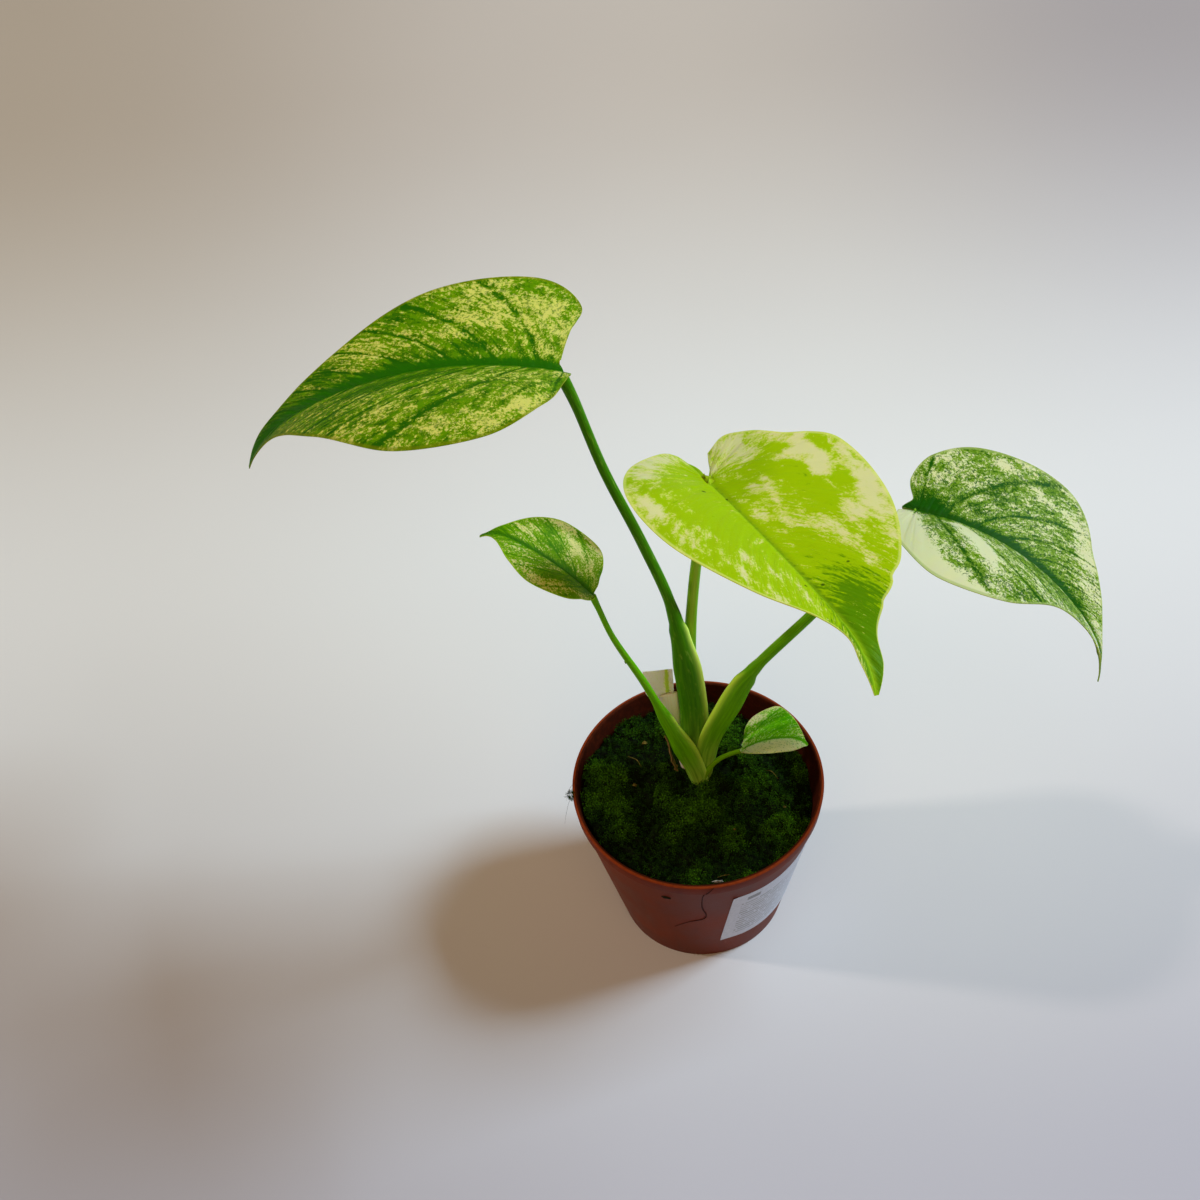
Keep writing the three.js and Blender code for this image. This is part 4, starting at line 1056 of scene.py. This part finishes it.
# Each skin's colours are its cream, the mix of cream and green, the green, the darker green, the midrib
# and the margin. The numbers after them say how much of each shows and how fine the pattern is.
LEAF_SKINS = {
    "tall_left": ("leaf_cream_green", dict(
        colours=[(212, 208, 104), (140, 164, 6), (94, 140, 0), (36, 94, 0), (38, 108, 0),
                 (120, 126, 10)],
        level=-0.065, seed=1.0, rib_width=0.025, peppered=0.55, soft=0.02)),
    "lime": ("leaf_lime", dict(
        # The lime leaf's pale margin colour is partly its own pale edge and partly a painted highlight.
        colours=[(220, 216, 150), (200, 212, 44), (160, 190, 0), (92, 136, 0), (160, 196, 24),
                 (222, 228, 120)],
        level=-0.08, seed=12.0, rib_width=0.008, patchy=0.6, speckled=0.4, soft=0.08,
        dusk=-0.24, veins=0.15,
        pinholes=[(0.091, -0.064, 0.009), (0.118, 0, 0.006), (0.618, 0.027, 0.007),
                  (0.609, -0.027, 0.006), (0.582, 0.127, 0.006)])),
    "right": ("leaf_mint_green", dict(
        colours=[(218, 218, 168), (138, 166, 48), (76, 120, 0), (24, 80, 0), (36, 92, 0),
                 (164, 178, 100)],
        level=-0.065, seed=31.0, fine=1.15, peppered=0.85, veil=0.07)),
    "small_left": ("leaf_cream_green", dict(
        colours=[(218, 210, 138), (146, 172, 16), (106, 152, 0), (66, 122, 0), (56, 110, 0),
                 (150, 186, 20)],
        level=-0.1, fine=0.55, seed=47.0, streaky=0.45, patchy=0.6, speckled=1.0, peppered=0.2,
        soft=0.03, veil=0.02)),
    # The tiny leaf's colours are brighter than its own green: painted light that lifts it out of the
    # right leaf's shadow.
    "tiny": ("leaf_mint_green", dict(
        colours=[(228, 255, 190), (180, 252, 100), (120, 214, 4), (76, 178, 0), (96, 180, 8),
                 (210, 234, 150)],
        level=-0.13, fine=0.45, seed=63.0, speckled=1.0, peppered=0.6)),
}
for name, leaf in LEAVES.items():
    slot, look = LEAF_SKINS[name]
    skin = leaf_skin(f"leaf_{name}", **look)
    set_down(leaf_blade(leaf), f"leaf_{name}", skin, f"blade_{name}", 60)

# The leaf cut short: a small old leaf on its own stalk behind the others, cut straight across and nearly
# bare of green. Beside it hangs the thin papery scale that once wrapped a young leaf.
CUT_LEAF = {
    "length": 10, "at": (-8.3, 15.2, 104), "held": (90, -80, 0),
    "droop": 10, "tip_droop": 0, "sway": 0, "twist": 0, "rise": (12, 10), "curl": (20, 0),
    "left": [(-2, 1.9), (-2.6, 4.5), (-1, 7), (2, 8), (6, 8.4), (10, 8.2)],
    "right": [(-0.8, 1.5), (-1, 1.8), (0, 2), (2, 2.2), (6, 2.2), (10, 2.2)],
    "columns": 40, "rows": 40, "rib": 0.5, "groove": 0.1, "nicks": [], "bulge": (0, 0),
    "paint": [(5, 0, 6, 1, -0.3, 0.15)],
}
CUT_STALK = {
    "route": [(-2.4, 10.4, 60), (-5.6, 12, 80), (-7.3, 13.2, 92), (-8.3, 15, 103.6)],
    "sizes": [(0, 2.0, 1.6), (0.5, 2.3, 1.4), (0.8, 3.1, 1.1), (1, 3.3, 0.9)],
    "faces": -60, "sheath": 0.2,
}
DRY_SCALE = {
    "length": 21, "at": (-6.8, 5.2, 71), "held": (178, -78, 0),
    "droop": -8, "tip_droop": 20, "sway": 0, "twist": 10, "rise": (10, 10), "curl": (50, 50),
    "left": [(0, 0.8), (3, 1.8), (9, 2.2), (16, 1.4), (21, 0.4)],
    "right": [(0, 0.8), (3, 1.7), (9, 1.9), (16, 1.2), (21, 0.4)],
    "columns": 24, "rows": 48, "rib": 0.2, "groove": 0, "nicks": [(0.4, 0.5, 0.05), (0.7, 0.4, 0.04)],
    "bulge": (0, 0),
    "paint": [],
}


def dry_skin():
    """Thin dry brown skin with fine fibres along it and paler torn edges."""
    skin = Finish("dry_scale", roughness=0.7, Specular_IOR_Level=0.3)
    fibres = skin.grain(skin.stretch(skin.attribute("flat"), (1.5, 40, 1)), 3, 4, 0.6)
    blotches = skin.grain(skin.attribute("flat"), 9, 3, 0.6)
    edge = skin.split(skin.attribute("vein"))[2]
    colour = skin.layers(tint(104, 76, 30), [
        (skin.fade(fibres, 0.35, 0.65), tint(146, 116, 54)),
        (skin.fade(blotches, 0.5, 0.7, 0.0, 0.7), tint(70, 42, 22)),
        (skin.fade(edge, 0.8, 1.0, 0.0, 0.4), tint(160, 134, 80)),
    ])
    return skin.coat(colour, None, skin.relief(fibres, 0.15 * MM))


# The cut leaf's near-white colours are partly its own pale colour and partly painted light that lifts it
# out of the shade it sits in.
pale_skin = leaf_skin(
    "leaf_pale", [(255, 255, 236), (244, 255, 196), (206, 240, 110), (184, 226, 84), (176, 216, 90),
                  (240, 244, 216)],
    level=0.16, fine=0.35, seed=81.0, rib_width=0.05, glow=5)
set_down(leaf_blade(CUT_LEAF), "leaf_cut", pale_skin, "cut_leaf", 60)
cut_skin = stalk_skin("stalk_pale", (250, 238, 214), (255, 250, 236), (255, 255, 236), (224, 204, 160))
cut_stalk = stalk_tube(**CUT_STALK, sides=24, steps=60)
set_down(cut_stalk, "stalk_cut", cut_skin, "cut_leaf_stalk")
set_down(leaf_blade(DRY_SCALE), "scale_dry", dry_skin(), "dry_sheath", 60)

# The litter: bits that repotting left behind. Dark root fibres have dried onto the wall and hang over
# the rim with a scrap of moss, crumbs and straws lie on the moss, and one stalk carries a small wart.
WALL_ROOT = [(-88.5, 69.9), (-91, 67), (-93, 63), (-94, 51), (-92, 42), (-93.5, 39), (-101, 36),
             (-110.5, 28.5)]
ROOT_RADIUS = 0.2
HAIR_RADIUS = 0.05
RIM_HAIRS = [
    [(-43.6, 4.6, 70.1), (-45.4, 2.2, 70.2), (-46.8, -0.4, 69.6), (-47.2, -2.6, 68.6)],
    [(-44.2, -1.6, 70.1), (-46.2, -3.4, 69.6), (-47.8, -7.4, 67.4), (-48.6, -10.2, 65.6)],
]
STRAWS = [[(24.9, 7.7), (27.2, 6.2), (29.2, 3.7)], [(3.2, -36.6), (5.2, -36), (7.4, -37)],
          [(-24, 17), (-21, 15.4), (-19.6, 12)]]
STRAW_RADIUS = 0.16
# Where each crumb lies on the cushion and its half sizes, millimetres.
CRUMBS = [(-17.4, 22.7, 0.8, 0.5), (-22.5, 4.2, 0.7, 0.5), (11, -20, 0.4, 0.4), (-8, -14, 0.4, 0.4),
          (30, -9, 0.5, 0.4)]
ON_THE_MOSS = 1.5
SPECK_AZIMUTH = -111
SCRAP_FROM = (-46.4, -2.6, 68.4)
SCRAP_TO = (-44.6, 0.4, 69.6)
SCRAP_SHOOTS = 22
SCRAP_SHOOT_LENGTH = 2.1 * MM


def gathered(parts):
    """Several small meshes put together as one."""
    whole = bmesh.new()
    carrier = bpy.data.meshes.new("part")
    for part in parts:
        part.to_mesh(carrier)
        part.free()
        whole.from_mesh(carrier)
    bpy.data.meshes.remove(carrier)
    return whole


def thread(points, radius):
    sizes = [(0, 0.7 * radius, 0.7 * radius), (0.5, radius, radius), (1, 0.4 * radius, 0.4 * radius)]
    return stalk_tube(points, sizes, faces=0, sheath=-1, sides=6, steps=24)


def crumb(at, half_sizes, turn=0.0):
    """A rough rounded bit, its place and half sizes in millimetres."""
    bm = bmesh.new()
    bmesh.ops.create_icosphere(bm, subdivisions=3, radius=1)
    for vert in bm.verts:
        vert.co *= 1 + 0.8 * noise.noise(vert.co * 1.4 + Vector(at))
    shaped = Matrix.Rotation(turn, 4, "Z") @ Matrix.Diagonal((*half_sizes, 1))
    bm.transform(Matrix.Scale(MM, 4) @ Matrix.Translation(at) @ shaped)
    return bm


def on_wall(azimuth, z, proud):
    """A place on the pot's outside in millimetres, standing proud of the wall or of the collar."""
    radius = (POT_LIP_RADIUS if z * MM > UNDER_COLLAR else wall_radius(z * MM)) / MM + proud
    return radius * math.cos(math.radians(azimuth)), radius * math.sin(math.radians(azimuth)), z


def over_moss(x, y):
    return x, y, moss_surface(x * MM, y * MM) / MM + ON_THE_MOSS


def litter_skin(name, dark, light):
    """Dry plant stuff, dull and mottled."""
    skin = Finish(name, roughness=0.85, Specular_IOR_Level=0.1)
    bits = skin.grain(skin.place, 1500, 3, 0.6)
    colour = skin.blend(skin.fade(bits, 0.35, 0.65), tint(*dark), tint(*light))
    return skin.coat(colour, None, skin.relief(bits, 0.2 * MM))


root_skin = litter_skin("root_fibre", (40, 18, 16), (66, 34, 26))
tan_skin = litter_skin("dry_straw", (84, 70, 26), (136, 122, 56))
wall_root = thread([on_wall(azimuth, z, 0.15) for azimuth, z in WALL_ROOT], ROOT_RADIUS)
rim_hairs = [thread(points, HAIR_RADIUS) for points in RIM_HAIRS]
set_down(gathered([wall_root, *rim_hairs]), "root_fibres", root_skin)
straws = [thread([over_moss(x, y) for x, y in straw], STRAW_RADIUS) for straw in STRAWS]
crumbs = [crumb(over_moss(x, y), (half, 0.8 * half, tall)) for x, y, half, tall in CRUMBS]
set_down(gathered([*straws, *crumbs]), "straws_and_crumbs", tan_skin)
wall_speck = crumb(on_wall(SPECK_AZIMUTH, 57.7, 0.1), (0.35, 1.5, 0.7), math.radians(SPECK_AZIMUTH))
set_down(wall_speck, "wall_speck", litter_skin("wall_speck", (14, 18, 8), (34, 36, 20)))
rim_fleck = crumb((3, -42, 69.1), (1.8, 0.3, 0.5))
fleck_skin = litter_skin("rim_fleck", (120, 118, 116), (190, 188, 186))
set_down(rim_fleck, "rim_fleck", fleck_skin)
scrap_dice = random.Random(21)
scrap = []
for _ in range(SCRAP_SHOOTS):
    place = Vector([scrap_dice.uniform(a, b) for a, b in zip(SCRAP_FROM, SCRAP_TO)])
    scrap.append((place * MM, SCRAP_SHOOT_LENGTH, 0.1))
set_down(planted(shoot, scrap, scrap_dice), "moss_scrap", moss_skin)
stalk_wart = crumb((-22.2, 9.3, 131.4), (0.5, 0.7, 0.7))
wart_skin = litter_skin("stalk_wart", (84, 130, 10), (120, 164, 30))
set_down(stalk_wart, "stalk_wart", wart_skin)

# The table and the light: a pale table top with painted fall-off of light and painted shade in its
# colour, a soft cool window light high on the right, a small warm lamp low on the left, a wide dim fill,
# and a camera that looks steeply down from the front.
CAMERA_AT = Vector((-29.0, -487.4, 780.3)) * MM
CAMERA_DOWN = math.radians(51.05)
CAMERA_ROLL = math.radians(-5.13)
CAMERA_FIELD = math.radians(28)
TABLE_WIDTH = 6
ROOM_GLOW = (1.0, 0.65, 0.34)
ROOM_STRENGTH = 0.16


def lamp(name, towards, distance, size, power, colour):
    """A square soft light that shines at the plant from one side."""
    light = bpy.data.lights.new(name, "AREA")
    light.size = size
    light.energy = power
    light.color = colour
    lit = bpy.data.objects.new(name, light)
    lit.location = Vector(towards).normalized() * distance
    lit.rotation_euler = Vector(towards).to_track_quat("Z", "Y").to_euler()
    bpy.context.collection.objects.link(lit)


def pale_table():
    """A pale matt top with light painted into its colour: painted fall-off towards the back and the
    front, painted shade on the left, painted warm and cool casts at the back corners and a cool cast on
    the right, and a faint random mottle.
    """
    skin = Finish("pale_table", roughness=0.6, Specular_IOR_Level=0.15)
    x, y, _ = skin.split(skin.place)
    # Painted light: the back, front and left tones are painted shade, and the corner and right-hand
    # tints are painted casts of the lamps.
    back = skin.fade(y, 0.15, 0.5)
    left = skin.times(skin.fade(x, 0.02, -0.24), skin.fade(y, 0.26, -0.04, 0.65, 1.0))
    mottle = skin.grain(skin.place, 9, 2, 0.5)
    colour = skin.layers(tint(242, 241, 238), [
        (back, (0.69, 0.61, 0.55, 1)),
        (skin.fade(y, 0.2, -0.15), (0.66, 0.65, 0.72, 1)),
        (skin.fade(y, -0.02, -0.15), (0.91, 0.9, 0.93, 1)),
        (left, (0.78, 0.75, 0.72, 1)),
        (skin.fade(x, 0.08, 0.28), (0.95, 0.95, 0.99, 1)),
        (skin.times(skin.fade(x, -0.05, -0.32), back), (0.88, 0.84, 0.76, 1)),
        (skin.times(skin.fade(x, 0.02, 0.3), back), (0.75, 0.76, 0.83, 1)),
        (skin.fade(mottle, 0.3, 0.7, 0.0, 0.05), (0.8, 0.78, 0.76, 1)),
    ], "MULTIPLY")
    return skin.coat(colour)


bpy.ops.mesh.primitive_plane_add(size=TABLE_WIDTH)
table_top = bpy.context.object
table_top.name = "table_top"
table_top.data.materials.append(pale_table())
lamp("window", (70, 13, 70), 6, 1.6, 313, (0.757, 1.0, 1.175))
lamp("warm_lamp", (-136, 18, 70), 4, 0.26, 38, (1.15, 1.0, 0.87))
lamp("front_fill", (-10, -100, 120), 4, 3, 33, ROOM_GLOW)
world = bpy.data.worlds.new("room")
world.use_nodes = True
glow = world.node_tree.nodes["Background"].inputs
glow["Color"].default_value = (*ROOM_GLOW, 1)
glow["Strength"].default_value = ROOM_STRENGTH
bpy.context.scene.world = world
bpy.context.scene.view_settings.view_transform = "Standard"

camera_data = bpy.data.cameras.new("camera")
camera_data.sensor_fit = "HORIZONTAL"
camera_data.angle = CAMERA_FIELD
camera = bpy.data.objects.new("camera", camera_data)
level_right = Vector((1, 0, 0))
level_up = Vector((0, math.sin(CAMERA_DOWN), math.cos(CAMERA_DOWN)))
looking = Vector((0, math.cos(CAMERA_DOWN), -math.sin(CAMERA_DOWN)))
rolled_right = level_right * math.cos(CAMERA_ROLL) + level_up * math.sin(CAMERA_ROLL)
rolled_up = level_up * math.cos(CAMERA_ROLL) - level_right * math.sin(CAMERA_ROLL)
camera.matrix_world = (Matrix.Translation(CAMERA_AT)
                       @ Matrix((rolled_right, rolled_up, -looking)).transposed().to_4x4())
bpy.context.collection.objects.link(camera)
bpy.context.scene.camera = camera
